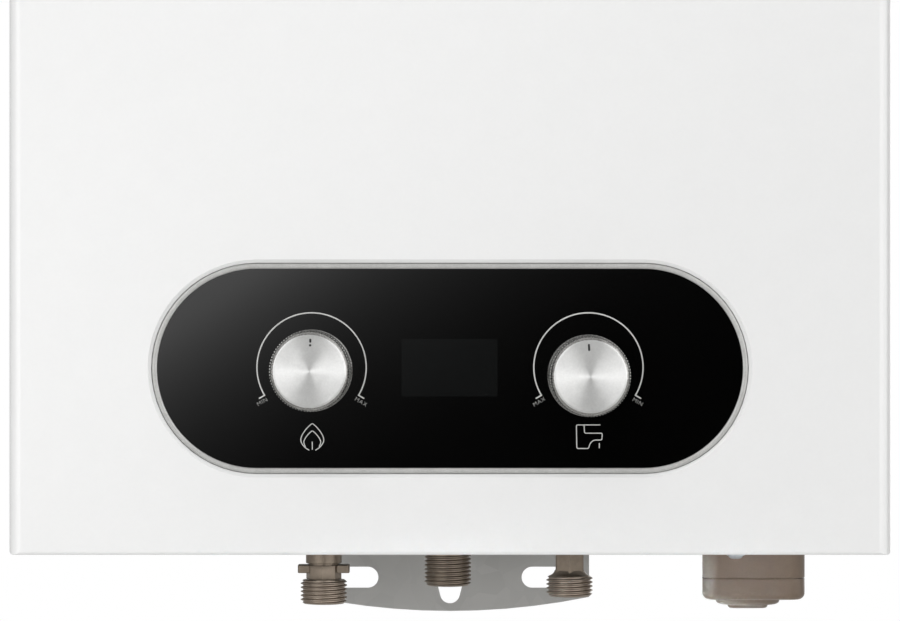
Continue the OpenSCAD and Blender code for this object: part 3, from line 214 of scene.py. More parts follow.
# each finish: low and high colour, grain in mm, roughness range, bump height in mm
looks = {
    # powder-coated steel, baked: even white with a faint orange peel
    "whiteEnamel": dict(
        low="#F1F1F1", high="#F3F3F3", grain=1.6, rough=(0.2, 0.24), bump=0.003, specular=0.8
    ),
    # hot-dip galvanised sheet: dull grey with zinc spangle
    "galvanisedSheet": dict(
        low="#A4A3A1", high="#ABAAA8", grain=9, rough=(0.44, 0.52), bump=0.002, metallic=0.3, cells=True
    ),
    # silver-sprayed ABS: fine flake in a satin coat
    "silverPaint": dict(
        low="#ABABA9", high="#C0C0BE", grain=0.7, rough=(0.34, 0.46), bump=0.004, metallic=0.35
    ),
    # moulded ABS, black: fine spark-eroded grain
    "blackAbs": dict(low="#131313", high="#1E1E1E", grain=0.8, rough=(0.5, 0.62), bump=0.02),
    # turned brass rod: warm yellow, finely mottled
    "turnedBrass": dict(
        low="#A8813B", high="#C8A052", grain=0.9, rough=(0.25, 0.4), bump=0.006, metallic=1.0
    ),
    # die-cast aluminium: matt grey skin, clouded
    "castAluminium": dict(
        low="#8E8F90", high="#A9AAAB", grain=3.5, rough=(0.45, 0.62), bump=0.03, metallic=0.8
    ),
    # nickel-plated brass, worn to taupe: soft sheen, darker in patches
    "nickelBrass": dict(
        low="#94877B", high="#AA9E91", grain=2.2, rough=(0.32, 0.42), bump=0.004, metallic=0.9
    ),
    # the same plating, darker and browner: painted shade for the parts in the shade under the casing
    "paintedShadeNickel": dict(
        low="#7B7064", high="#908477", grain=2.2, rough=(0.34, 0.44), bump=0.004, metallic=0.9
    ),
    # sand-cast brass: grainy dull yellow
    "castBrass": dict(low="#8F6F36", high="#B08E4E", grain=1.4, rough=(0.45, 0.62), bump=0.03, metallic=0.9),
    # drawn copper, heat-tinted: red-brown clouds
    "drawnCopper": dict(low="#8F4A2E", high="#C07A55", grain=6, rough=(0.26, 0.42), bump=0.004, metallic=1.0),
    # pressed stainless sheet: straight mill grain
    "stainlessSheet": dict(
        low="#97968F", high="#B5B4AF", grain=0.8, rough=(0.26, 0.42), bump=0.004, metallic=1.0,
        stretch=(1, 1, 0.05),
    ),
    # bright zinc plate: bluish silver, slightly clouded
    "zincPlate": dict(low="#A9ADB2", high="#C6C9CC", grain=1.5, rough=(0.24, 0.38), bump=0.003, metallic=1.0),
    # moulded black rubber: dull with bloom
    "blackRubber": dict(low="#1A1A1A", high="#2A2A29", grain=1.2, rough=(0.65, 0.8), bump=0.02),
    # glazed alumina: cream white, glossy
    "glazedCeramic": dict(low="#E9E5D8", high="#F2EFE6", grain=2.5, rough=(0.12, 0.22), bump=0.004),
    # moulded ABS, taupe: fine matt grain with a soft sheen
    "taupeAbs": dict(low="#766658", high="#7E6E60", grain=0.6, rough=(0.28, 0.34), bump=0.004, specular=0.4),
    # battery jacket: lacquered foil, left plain
    "cellJacket": dict(low="#2B2C30", high="#3A3B40", grain=4, rough=(0.22, 0.34), bump=0.002, metallic=0.6),
    # silicone sleeve of a lead
    "leadSleeve": dict(low="#5E1512", high="#7A201B", grain=1.0, rough=(0.5, 0.62), bump=0.01),
    # glass-fibre board under green lacquer
    "greenBoard": dict(low="#12382B", high="#1C4C3A", grain=1.1, rough=(0.3, 0.42), bump=0.006),
    # screen-printed ink, light grey
    "printInk": dict(low="#C6C6C4", high="#D8D8D6", grain=0.5, rough=(0.45, 0.6), bump=0.002),
    # black filled mark, sunk in the knob face
    "markFill": dict(low="#0C0C0C", high="#161616", grain=0.4, rough=(0.4, 0.55), bump=0.002),
    # matt pale sweep under the object
    "paleFloor": dict(low="#EFEFED", high="#F5F5F3", grain=60, rough=(0.85, 0.95), bump=0.0),
}
finishes = {}
mottle = {"detail": 3.0, "cloud": 7, "cloudDetail": 2.0, "range": (0.6, 1.4)}  # a cloud is 7 grains wide


def makeFinish(name, look):
    material = bpy.data.materials.new(name)
    material.use_nodes = True
    tree = material.node_tree
    shader = tree.nodes["Principled BSDF"]
    place = addNode(tree, "ShaderNodeTexCoord").outputs["Object"]
    turned = addNode(
        tree, "ShaderNodeMapping", {"Vector": place, "Scale": look.get("stretch", (1, 1, 1))}
    ).outputs[0]
    scale = 1 / (look["grain"] * mm)
    if look.get("cells"):
        cells = addNode(tree, "ShaderNodeTexVoronoi", {"Vector": turned, "Scale": scale}).outputs["Color"]
        grain = addNode(tree, "ShaderNodeSeparateXYZ", {0: cells}).outputs["X"]
    else:
        grain = addNode(
            tree, "ShaderNodeTexNoise", {"Vector": turned, "Scale": scale, "Detail": mottle["detail"]}
        ).outputs["Fac"]
    cloud = addNode(
        tree,
        "ShaderNodeTexNoise",
        {"Vector": place, "Scale": scale / mottle["cloud"], "Detail": mottle["cloudDetail"]},
    ).outputs["Fac"]
    mixed = addNode(tree, "ShaderNodeMath", {0: grain, 1: cloud}, operation="ADD").outputs[0]
    low, high = mottle["range"]
    share = addNode(
        tree, "ShaderNodeMapRange", {"Value": mixed, "From Min": low, "From Max": high}
    ).outputs[0]
    colour = addNode(
        tree, "ShaderNodeMix", {0: share, 6: srgb(look["low"]), 7: srgb(look["high"])}, data_type="RGBA"
    ).outputs[2]
    rough = addNode(
        tree, "ShaderNodeMapRange", {"Value": grain, "To Min": look["rough"][0], "To Max": look["rough"][1]}
    ).outputs[0]
    tree.links.new(colour, shader.inputs["Base Color"])
    tree.links.new(rough, shader.inputs["Roughness"])
    shader.inputs["Metallic"].default_value = look.get("metallic", 0.0)
    shader.inputs["Specular IOR Level"].default_value = look.get("specular", 0.5)
    if look["bump"]:
        relief = addNode(
            tree, "ShaderNodeBump", {"Height": grain, "Distance": look["bump"] * mm, "Strength": 1.0}
        )
        tree.links.new(relief.outputs[0], shader.inputs["Normal"])
    finishes[name] = material
    return material


for name, look in looks.items():
    makeFinish(name, look)


# tempered glass printed black behind: near-black, clear gloss
def makeBlackGlass(name, low, high):
    material = makeFinish(name, dict(low=low, high=high, grain=45, rough=(0.03, 0.05), bump=0.0))
    material.node_tree.nodes["Principled BSDF"].inputs["IOR"].default_value = 1.5
    return material


makeBlackGlass("blackGlass", "#020202", "#040404")
makeBlackGlass("smokedWindow", "#0B0C0C", "#101111")


# spun aluminium: fine rings turn each light into a bow tie
spun = {
    "ringStep": 0.6,  # mm, coarser than real tool rings so that they show
    "waveUnit": 0.314,  # scale at which the wave texture repeats once in a metre
    "ringRise": 0.0015,
    "stretch": 0.95,
    "turn": 0.25,
}


def makeSpunAluminium(name, x, z):
    material = makeFinish(
        name, dict(low="#D6D6D5", high="#E4E4E3", grain=0.8, rough=(0.42, 0.47), bump=0.0, metallic=1.0)
    )
    tree = material.node_tree
    shader = tree.nodes["Principled BSDF"]
    turn = addNode(tree, "ShaderNodeTangent", direction_type="RADIAL", axis="Y")
    tree.links.new(turn.outputs[0], shader.inputs["Tangent"])
    shader.inputs["Anisotropic"].default_value = spun["stretch"]
    shader.inputs["Anisotropic Rotation"].default_value = spun["turn"]
    place = addNode(tree, "ShaderNodeTexCoord").outputs["Object"]
    centred = addNode(
        tree, "ShaderNodeMapping", {"Vector": place, "Location": (-x * mm, 0, -z * mm)}
    ).outputs[0]
    scale = spun["waveUnit"] / (spun["ringStep"] * mm)
    rings = addNode(
        tree,
        "ShaderNodeTexWave",
        {"Vector": centred, "Scale": scale, "Distortion": 1.5, "Detail": 2.0, "Detail Scale": 3.0},
        wave_type="RINGS",
        rings_direction="Y",
    ).outputs["Fac"]
    relief = addNode(
        tree, "ShaderNodeBump", {"Height": rings, "Distance": spun["ringRise"] * mm, "Strength": 1.0}
    )
    tree.links.new(relief.outputs[0], shader.inputs["Normal"])
    return material


makeFinish(  # knurled aluminium side: bright ribs, grey between
    "knurledAluminium",
    dict(low="#7A7977", high="#B4B3B0", grain=0.7, rough=(0.2, 0.34), bump=0.004, metallic=1.0),
)
print("finishes:", len(finishes))

# finish of every CAD node, also where a finer piece stands for it
nodeFinish = {
    "whiteEnamel": ["front_cover"],
    "galvanisedSheet": [
        "back_plate", "bottom_plate", "top_plate", "valve_bracket", "burner_frame", "electrode_bracket",
        "draught_hood", "flue_collar", "gas_tube",
    ],
    "silverPaint": ["control_trim"],
    "blackGlass": ["control_glass"],
    "blackAbs": ["display_carrier", "flame_core", "water_core", "switch_body", "igniter_box"],
    "greenBoard": ["display_module"],
    "turnedBrass": ["flame_stem", "water_stem", "gas_nozzles"],
    "castAluminium": ["gas_valve_body", "gas_manifold", "flame_knob", "water_knob"],
    "castBrass": ["water_valve_body", "diaphragm_cover", "pipe_unions"],
    "nickelBrass": ["gas_inlet", "hot_outlet", "cold_inlet"],
    "drawnCopper": [
        "combustion_chamber", "exchanger_shell", "exchanger_fins", "exchanger_tubes", "cold_pipe", "hot_pipe",
    ],
    "stainlessSheet": [
        "burner_bars", "push_rod", "switch_lever", "electrode_wires", "upper_contacts", "lid_contact",
        "hinge_pin",
    ],
    "zincPlate": ["panel_screws", "valve_screws", "limit_thermostat", "cover_screws", "chassis_screws"],
    "blackRubber": ["diaphragm", "pipe_grommets", "battery_lead", "display_lead"],
    "glazedCeramic": ["electrode_insulators"],
    "taupeAbs": ["battery_box", "battery_lid", "battery_latch"],
    "cellJacket": ["battery_cells"],
    "leadSleeve": ["electrode_leads"],
}


def dressNodes():
    for finish, names in nodeFinish.items():
        for name in names:
            body = nodes[name]
            if not body.material_slots:
                body.data.materials.append(None)
            for held in body.material_slots:
                held.material = finishes[finish]
    print("nodes dressed:", sum(len(names) for names in nodeFinish.values()))


dressNodes()
buildStudio()


def choose(piece):  # the only selected object, and the active one
    bpy.ops.object.select_all(action="DESELECT")
    piece.select_set(True)
    bpy.context.view_layer.objects.active = piece


def drawLine(name, points):  # a chain of edges through points in mm, left in edit mode
    bpy.ops.object.select_all(action="DESELECT")
    bpy.ops.mesh.primitive_plane_add(size=mm)
    piece = bpy.context.object
    piece.name = piece.data.name = name
    bpy.ops.object.mode_set(mode="EDIT")
    bpy.ops.mesh.select_mode(type="VERT")
    bpy.ops.mesh.merge(type="CENTER")
    bpy.ops.transform.translate(value=[c * mm for c in points[0]])
    for before, after in zip(points, points[1:]):
        step = [(b - a) * mm for a, b in zip(before, after)]
        bpy.ops.mesh.extrude_region_move(TRANSFORM_OT_translate={"value": step})
    bpy.ops.mesh.select_all(action="SELECT")
    return piece


def closeMesh():  # in edit mode: merge doubles and turn the faces outwards
    bpy.ops.mesh.select_all(action="SELECT")
    bpy.ops.mesh.remove_doubles(threshold=weld)
    bpy.ops.mesh.normals_make_consistent(inside=False)
    bpy.ops.object.mode_set(mode="OBJECT")


def turnProfile(name, outline, steps, axis="Z", base=0, way=1):  # an outline of radius and height, spun
    flat = [(r, 0, base + way * h) if axis == "Z" else (r, base + way * h, 0) for r, h in outline]
    piece = drawLine(name, flat)
    bpy.ops.mesh.spin(
        steps=steps, angle=2 * math.pi, center=(0, 0, 0), axis=(0, 0, 1) if axis == "Z" else (0, 1, 0)
    )
    closeMesh()
    return piece


def pickFaces(piece, test):  # in edit mode, select the faces whose middle in mm and normal pass the test
    bpy.ops.mesh.select_mode(type="FACE")
    bpy.ops.mesh.select_all(action="DESELECT")
    mesh = bmesh.from_edit_mesh(piece.data)
    for face in mesh.faces:
        face.select_set(test(face.calc_center_median() / mm, face.normal))
    bmesh.update_edit_mesh(piece.data)


def pickEdges(piece, test):  # in edit mode, select the edges whose two ends in mm pass the test
    bpy.ops.mesh.select_mode(type="EDGE")
    bpy.ops.mesh.select_all(action="DESELECT")
    mesh = bmesh.from_edit_mesh(piece.data)
    for edge in mesh.edges:
        edge.select_set(test(edge.verts[0].co / mm, edge.verts[1].co / mm))
    bmesh.update_edit_mesh(piece.data)


def pickVerts(piece, test):  # in edit mode, select the corners whose place in mm passes the test
    bpy.ops.mesh.select_mode(type="VERT")
    bpy.ops.mesh.select_all(action="DESELECT")
    mesh = bmesh.from_edit_mesh(piece.data)
    for vert in mesh.verts:
        vert.select_set(test(vert.co / mm))
    bmesh.update_edit_mesh(piece.data)


def movePiece(piece, place):  # the place goes into the mesh
    piece.data.transform(Matrix.Translation(Vector(place) * mm))
    return piece


def copyPiece(piece, name, place):  # a copy with its own mesh, set off by a step in mm
    twin = piece.copy()
    twin.data = piece.data.copy()
    twin.name = twin.data.name = name
    bpy.context.scene.collection.objects.link(twin)
    return movePiece(twin, place)


def combine(piece, tool, how):  # boolean with another mesh, which is then removed
    step = piece.modifiers.new("combine", "BOOLEAN")
    step.operation, step.object, step.solver = how, tool, "EXACT"
    choose(piece)
    bpy.ops.object.modifier_apply(modifier=step.name)
    bpy.data.objects.remove(tool)
    return piece


def joinPieces(name, parts):
    choose(parts[0])
    for part in parts[1:]:
        part.select_set(True)
    bpy.ops.object.join()
    parts[0].name = parts[0].data.name = name
    return parts[0]


def makePrism(name, sides, radius, low, high, turn=0.0, edge=0.0):  # bar with flats along Z
    bpy.ops.object.select_all(action="DESELECT")
    bpy.ops.mesh.primitive_cylinder_add(
        vertices=sides,
        radius=radius * mm,
        depth=(high - low) * mm,
        location=(0, 0, (low + high) / 2 * mm),
        rotation=(0, 0, math.radians(turn)),
    )
    piece = bpy.context.object
    piece.name = piece.data.name = name
    bpy.ops.object.transform_apply(location=True, rotation=True, scale=True)
    if edge:
        bpy.ops.object.mode_set(mode="EDIT")
        bpy.ops.mesh.select_all(action="SELECT")
        bpy.ops.mesh.bevel(offset=edge * mm, segments=bevelCuts["flat"], affect="EDGES")
        bpy.ops.object.mode_set(mode="OBJECT")
    return piece


def makeBlock(name, low, high, corner=0.0, axis=2, edge=0.0, side=None):  # box, rounded along one axis
    bpy.ops.object.select_all(action="DESELECT")
    size = [(h - l) * mm for l, h in zip(low, high)]
    middle = [(l + h) / 2 * mm for l, h in zip(low, high)]
    bpy.ops.mesh.primitive_cube_add(size=1, location=middle, scale=size)
    piece = bpy.context.object
    piece.name = piece.data.name = name
    bpy.ops.object.transform_apply(location=True, rotation=True, scale=True)
    bpy.ops.object.mode_set(mode="EDIT")
    if corner:
        pickEdges(piece, lambda a, b: abs(a[axis] - b[axis]) > 0.9 * (high[axis] - low[axis]))
        bpy.ops.mesh.bevel(offset=corner * mm, segments=bevelCuts["corner"], affect="EDGES")
    if edge:  # round the rim of one end, or of both
        ends = (low[axis], high[axis]) if side is None else (side,)
        pickEdges(
            piece, lambda a, b: any(abs(a[axis] - e) < flush and abs(b[axis] - e) < flush for e in ends)
        )
        bpy.ops.mesh.bevel(offset=edge * mm, segments=bevelCuts["rim"], affect="EDGES")
    bpy.ops.object.mode_set(mode="OBJECT")
    return piece


def settle(piece, body, finish, replaced=(), angle=35):  # shading, finish and body
    choose(piece)
    bpy.ops.object.shade_smooth_by_angle(angle=math.radians(angle))
    if finish:
        piece.data.materials.clear()
        piece.data.materials.append(finishes[finish])
    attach(piece, body)
    if replaced:
        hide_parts(*replaced)
    return piece


# knobs: turned foot ring, knurled side, crowned edge and spun face with a filled mark
knob = {
    "base": -149.8,
    "ribs": 84,
    "ribRise": 0.3,
    "ribEdge": 0.1,
    "ribSpan": (3.3, 20.3),
    "sideRadius": 16,  # faces beyond it that point outwards are the side
    "face": 23.5,
    "spunDepth": 0.6,  # faces this near the front that point forward are spun
    "outline": [
        (0, 20.9), (14.4, 20.9), (14.4, 0), (17.4, 0), (17.7, 0.3), (17.7, 1.9), (17.4, 2.2), (17.15, 2.5),
        (17.15, 3.2), (17.0, 20.4), (16.95, 21.2), (16.7, 21.9), (16.2, 22.6), (15.6, 23.1), (15.2, 23.3),
        (15.0, 23.35), (14.85, 23.5), (7, 23.5), (0.35, 23.5), (0.25, 23.42), (0, 23.42),
    ],
    "dash": (0.46, 0.42),  # half width and corner radius of the two marks
    "dot": (0.5, 0.48),
    "markDepth": 0.25,
    "fillRise": 0.17,
    "fillGap": 0.01,
}
dials = {  # dash from and to, dot: radius from the middle; lean: degrees from upright
    "flame": dict(
        body="flame_dial", node="flame_knob", centre=(-59.8, 79.7), dash=(12.2, 13.9), dot=11.1, lean=1.8
    ),
    "water": dict(
        body="water_dial", node="water_knob", centre=(59.8, 77.5), dash=(10.9, 13.9), dot=None, lean=-3.2
    ),
}


def makeKnob(name, dial):
    piece = turnProfile(name + "Knob", knob["outline"], 2 * knob["ribs"], axis="Y", base=knob["base"], way=-1)
    front = knob["base"] - knob["face"]

    def onRib(middle, normal):  # every second strip of the side
        turn = math.atan2(middle.z, middle.x) / math.pi * knob["ribs"]
        height = knob["base"] - middle.y
        onSide = math.hypot(middle.x, middle.z) > knob["sideRadius"] and abs(normal.y) < 0.2
        return onSide and knob["ribSpan"][0] < height < knob["ribSpan"][1] and math.floor(turn) % 2 == 0

    def makeMarks(grow, rise, depth):  # the dash, and the dot where the dial has one
        shapes = [("Dash", *knob["dash"], *dial["dash"])]
        if dial["dot"]:
            half = knob["dot"][0]
            shapes.append(("Dot", *knob["dot"], dial["dot"] - half, dial["dot"] + half))
        marks = []
        for kind, half, corner, low, high in shapes:
            mark = makeBlock(
                name + kind,
                (-half - grow, front + rise, low - grow),
                (half + grow, front + depth, high + grow),
                corner=corner,
                axis=1,
            )
            mark.data.transform(Matrix.Rotation(math.radians(dial["lean"]), 4, "Y"))
            marks.append(mark)
        return marks

    bpy.ops.object.mode_set(mode="EDIT")
    pickFaces(piece, onRib)
    bpy.ops.mesh.inset(thickness=knob["ribEdge"] * mm, depth=knob["ribRise"] * mm, use_individual=True)
    piece.data.materials.append(finishes["knurledAluminium"])
    piece.data.materials.append(makeSpunAluminium(name + "SpunAluminium", *dial["centre"]))
    pickFaces(piece, lambda middle, normal: normal.y < -0.5 and middle.y < front + knob["spunDepth"])
    piece.active_material_index = 1
    bpy.ops.object.material_slot_assign()
    bpy.ops.object.mode_set(mode="OBJECT")
    for mark in makeMarks(0.0, -over, knob["markDepth"]):
        combine(piece, mark, "DIFFERENCE")
    gap = knob["fillGap"]
    fills = makeMarks(-gap, knob["markDepth"] - knob["fillRise"], knob["markDepth"] - gap)
    x, z = dial["centre"]
    fill = joinPieces(name + "Mark", fills)
    settle(movePiece(fill, (x, 0, z)), dial["body"], "markFill")
    settle(movePiece(piece, (x, 0, z)), dial["body"], None, (dial["node"],), angle=28)


for name, dial in dials.items():
    makeKnob(name, dial)
print("knobs made")

# screen print on the glass: two arcs with ticks and words, a flame and a tap
dialPrint = {
    "plane": -149.2,
    "rise": 0.04,
    "arcRadius": 23.6,
    "arcReach": 120.6,
    "arcCuts": 60,  # in each half of an arc
    "tick": 2.8,
    "tickOverlap": 0.3,
    "line": 0.56,
    "iconLine": 0.4,
    "iconCorner": 0.7,
    "wordSize": 2.6,
    "wordThin": 0.07,
    "wordSpacing": 1.12,
    "wordAt": (21.3, -14.9),
    "wordTilt": 30,
    "centres": {"flame": (-59.8, 81.0), "water": (59.8, 81.0)},
    "words": {"flame": ("MIN", "MAX"), "water": ("MAX", "MIN")},
    "flameShift": 0.3,
    "flameOuter": [
        (-1.35, -35.75), (-3.2, -34.5), (-4.45, -32.9), (-4.95, -31.4), (-4.6, -29.7), (-3.4, -27.6),
        (-1.9, -25.8), (-0.45, -24.5), (0, -24.3),
    ],
    "flameInner": [
        (-2.95, -34.3), (-3.5, -33.0), (-3.6, -31.8), (-2.8, -30.2), (-1.5, -28.6), (-0.4, -27.6),
        (0, -27.45),
    ],
    "flameWick": [(0, -35.5), (0, -32.1)],
    "tap": [
        (5.14, -24.83), (-5.22, -24.83), (-5.01, -35.02), (0.09, -35.02), (0.43, -33.6), (1.2, -32.17),
        (2.5, -31.35), (5.79, -31.35), (6.0, -28.41), (-1.68, -28.41), (-1.9, -24.96),
    ],
    "tapDrop": [(4.71, -34.9), (4.71, -32.7)],
}


def easeLine(points, cuts=6):  # a smooth line through the points
    ends = [points[0]] + points + [points[-1]]
    line = []
    for a, b, c, d in zip(ends, ends[1:], ends[2:], ends[3:]):
        for i in range(cuts):
            t = i / cuts
            line.append(
                tuple(
                    0.5
                    * (
                        2 * q
                        + (r - p) * t
                        + (2 * p - 5 * q + 4 * r - s) * t**2
                        + (3 * q - p - 3 * r + s) * t**3
                    )
                    for p, q, r, s in zip(a, b, c, d)
                )
            )
    return line + [points[-1]]


def roundCorners(points, reach, cuts=5, most=2.1):  # each corner of a line drawn as a short curve
    line = [points[0]]
    for a, b, c in zip(points, points[1:], points[2:]):
        a, b, c = Vector(a), Vector(b), Vector(c)
        start = b + (a - b).normalized() * min(reach, (a - b).length / most)
        stop = b + (c - b).normalized() * min(reach, (c - b).length / most)
        for i in range(cuts + 1):
            t = i / cuts
            line.append(tuple(start * (1 - t) ** 2 + b * 2 * t * (1 - t) + stop * t**2))
    return line + [points[-1]]


def drawStrokes(name, lines, width):  # flat printed lines of one width
    drawing = bpy.data.curves.new(name, "CURVE")
    drawing.dimensions = "3D"
    drawing.bevel_depth = width / 2 * mm
    drawing.bevel_resolution = 2
    drawing.use_fill_caps = True
    for line in lines:
        spline = drawing.splines.new("POLY")
        spline.points.add(len(line) - 1)
        for point, (x, z) in zip(spline.points, line):
            point.co = (x * mm, 0, z * mm, 1)
    piece = bpy.data.objects.new(name, drawing)
    bpy.context.scene.collection.objects.link(piece)
    choose(piece)
    bpy.ops.object.convert(target="MESH")
    piece = bpy.context.object
    bpy.ops.object.mode_set(mode="EDIT")
    bpy.ops.mesh.select_all(action="SELECT")
    bpy.ops.transform.resize(value=(1, 2 * dialPrint["rise"] / width, 1), center_override=(0, 0, 0))
    bpy.ops.object.mode_set(mode="OBJECT")
    return movePiece(piece, (0, dialPrint["plane"], 0))


def drawWord(name, word, x, z, tilt):  # a word laid on the glass
    bpy.ops.object.select_all(action="DESELECT")
    bpy.ops.object.text_add()
    piece = bpy.context.object
    piece.name = name
    piece.data.body = word
    piece.data.size = dialPrint["wordSize"] * mm
    piece.data.align_x, piece.data.align_y = "CENTER", "CENTER"
    piece.data.extrude = dialPrint["rise"] * mm
    piece.data.offset = -dialPrint["wordThin"] * mm  # a light face
    piece.data.space_character = dialPrint["wordSpacing"]
    bpy.ops.object.convert(target="MESH")
    piece = bpy.context.object
    piece.rotation_euler = (math.radians(90), -math.radians(tilt), 0)
    bpy.ops.object.transform_apply(location=True, rotation=True, scale=True)
    return movePiece(piece, (x, dialPrint["plane"], z))


def printDials():
    arcs, icons, words = [], [], []
    reach = math.radians(dialPrint["arcReach"])
    radius, cuts = dialPrint["arcRadius"], dialPrint["arcCuts"]
    turns = [reach * (i / cuts - 1) for i in range(2 * cuts + 1)]
    near, far = radius - dialPrint["tickOverlap"], radius + dialPrint["tick"]
    for name, (x, z) in dialPrint["centres"].items():
        arcs.append([(x + radius * math.sin(t), z + radius * math.cos(t)) for t in turns])
        for end in (-reach, reach):
            arcs.append([(x + r * math.sin(end), z + r * math.cos(end)) for r in (near, far)])
        for side, word in zip((-1, 1), dialPrint["words"][name]):
            words.append(
                drawWord(
                    name + word, word, x + side * dialPrint["wordAt"][0], z + dialPrint["wordAt"][1],
                    -side * dialPrint["wordTilt"],
                )
            )
    x, z = dialPrint["centres"]["flame"]
    for half in (1, -1):
        for key in ("flameOuter", "flameInner"):
            line = easeLine(dialPrint[key])
            icons.append([(x + dialPrint["flameShift"] + half * px, z + pz) for px, pz in line])
    icons.append([(x + dialPrint["flameShift"] + px, z + pz) for px, pz in dialPrint["flameWick"]])
    x, z = dialPrint["centres"]["water"]
    for key in ("tap", "tapDrop"):
        icons.append([(x + px, z + pz) for px, pz in roundCorners(dialPrint[key], dialPrint["iconCorner"])])
    arcPrint = drawStrokes("arcPrint", arcs, dialPrint["line"])
    iconPrint = drawStrokes("iconPrint", icons, dialPrint["iconLine"])
    wordPrint = joinPieces("wordPrint", words)
    for piece in (arcPrint, iconPrint, wordPrint):
        settle(piece, "casing", "printInk")


printDials()

# display window: smoked film on the glass, a shade lighter than it
window = {"low": (-20.9, -149.23, 68.5), "high": (20.5, -149.1, 93.3), "corner": 0.7}
settle(
    makeBlock("displayWindow", window["low"], window["high"], corner=window["corner"], axis=1), "casing",
    "smokedWindow",
)

# crowned bead on the front of the trim
trimBead = {
    "steps": 130,
    "reach": 83.5,
    "ring": 60,  # corners within it are not drawn apart yet
    "height": 80.6,
    "outline": [
        (45.2, -149.0), (45.2, -149.25), (45.0, -149.45), (44.5, -149.56), (43.9, -149.56), (43.35, -149.45),
        (43.12, -149.25), (43.12, -149.0), (45.2, -149.0),
    ],
}


def makeBead():
    piece = turnProfile("trimBead", trimBead["outline"], trimBead["steps"], axis="Y")
    bpy.ops.object.mode_set(mode="EDIT")
    for side in (1, -1):  # the ring is drawn apart into a stadium
        pickVerts(piece, lambda place: side * place.x > 0.0 and abs(place.x) < trimBead["ring"])
        bpy.ops.transform.translate(value=(side * trimBead["reach"] * mm, 0, 0))
    bpy.ops.object.mode_set(mode="OBJECT")
    movePiece(piece, (0, 0, trimBead["height"]))
    settle(piece, "casing", "silverPaint")


makeBead()
print("panel dressed")

# pipe thread: half-inch, 14 turns to the inch
thread = {"pitch": 1.814, "crest": 10.48, "root": 9.32, "steps": 72}
threadEnd = {"step": 0.3, "lip": 0.25, "lead": 1.3, "runOut": 0.9, "clear": 0.02}  # how it starts and stops


def makeThread(name, low, high, crest, root, pitch, steps):
    tooth = [(root, 0), (root, 0.12), (crest, 0.42), (crest, 0.58), (root, 0.88), (root, 1)]
    spare = 2  # turns below the low end, cut away again
    turns = math.ceil((high - low) / pitch) + spare + 1
    piece = drawLine(name, [(r, 0, low + (t - spare) * pitch) for r, t in tooth])
    bpy.ops.object.mode_set(mode="OBJECT")
    helix = piece.modifiers.new("helix", "SCREW")
    helix.axis, helix.screw_offset, helix.iterations = "Z", pitch * mm, turns
    helix.steps = helix.render_steps = steps
    helix.use_merge_vertices = False
    choose(piece)
    bpy.ops.object.modifier_apply(modifier=helix.name)
    bpy.ops.object.mode_set(mode="EDIT")
    bpy.ops.mesh.select_all(action="SELECT")
    bpy.ops.mesh.remove_doubles(threshold=weld)
    for place, side in ((low, "clear_inner"), (high, "clear_outer")):
        bpy.ops.mesh.select_all(action="SELECT")
        bpy.ops.mesh.bisect(plane_co=(0, 0, place * mm), plane_no=(0, 0, 1), use_fill=True, **{side: True})
    closeMesh()
    wide = crest + threadEnd["clear"]
    end = [
        (0, low), (root - threadEnd["step"], low), (root, low + threadEnd["lip"]),
        (wide, low + threadEnd["lead"]), (wide, high - threadEnd["runOut"]), (root, high), (0, high),
    ]
    return combine(piece, turnProfile(name + "End", end, facets["fine"]), "INTERSECT")


def pipeThread(name, low, high):
    return makeThread(name, low, high, thread["crest"], thread["root"], thread["pitch"], thread["steps"])


fittings = {
    "gas": dict(
        centre=(-57, -80), thread=(-26.7, -16), octagon=8.0, octagonSpan=(-15.6, -9.2), lugs=(23.3, 8.4),
        lugSpan=(-12.8, -9.2), neck=6.9, collar=8.1, collarSpan=(-8.5, 42), bore=5.0,
    ),
    "hot": dict(
        centre=(-1, -95), thread=(-17.4, -3), neck=9.6, neckTop=14, hex=14, hexSpan=(2, 8), bore=7.05
    ),
    "cold": dict(
        centre=(54, -80), thread=(-23.4, -14.3), stem=7.16, stemSpan=(-15, 27), spigot=7.9,
        spigotSpan=(26, 42), bore=5.0,
        shoulder=[  # radius, and height over the thread
            (0, -0.8), (9.2, -0.8), (9.2, 0.1), (8.3, 0.5), (7.6, 1.0), (7.1, 1.6), (6.6, 2.6), (0, 2.6),
        ],
    ),
}
fittingEdge = {"step": 0.1, "rim": 0.3, "start": 0.4, "end": 0.5, "bore": 0.6}  # eased edges


def boreOut(piece, radius, low, high):  # through bore with a small lead at its mouth
    mouth = radius + fittingEdge["bore"]
    bore = [
        (0, low - over), (mouth, low - over), (mouth, low), (radius, low + fittingEdge["bore"]),
        (radius, high + over), (0, high + over),
    ]
    return combine(piece, turnProfile("bore", bore, facets["bore"]), "DIFFERENCE")


def paintShadeOnNeck(piece, height):  # what stands above the thread gets the darker copy of the plating: painted shade
    choose(piece)
    piece.data.materials.append(finishes["paintedShadeNickel"])
    bpy.ops.object.mode_set(mode="EDIT")
    pickFaces(piece, lambda middle, normal: middle.z > height)
    piece.active_material_index = 1
    bpy.ops.object.material_slot_assign()
    bpy.ops.object.mode_set(mode="OBJECT")


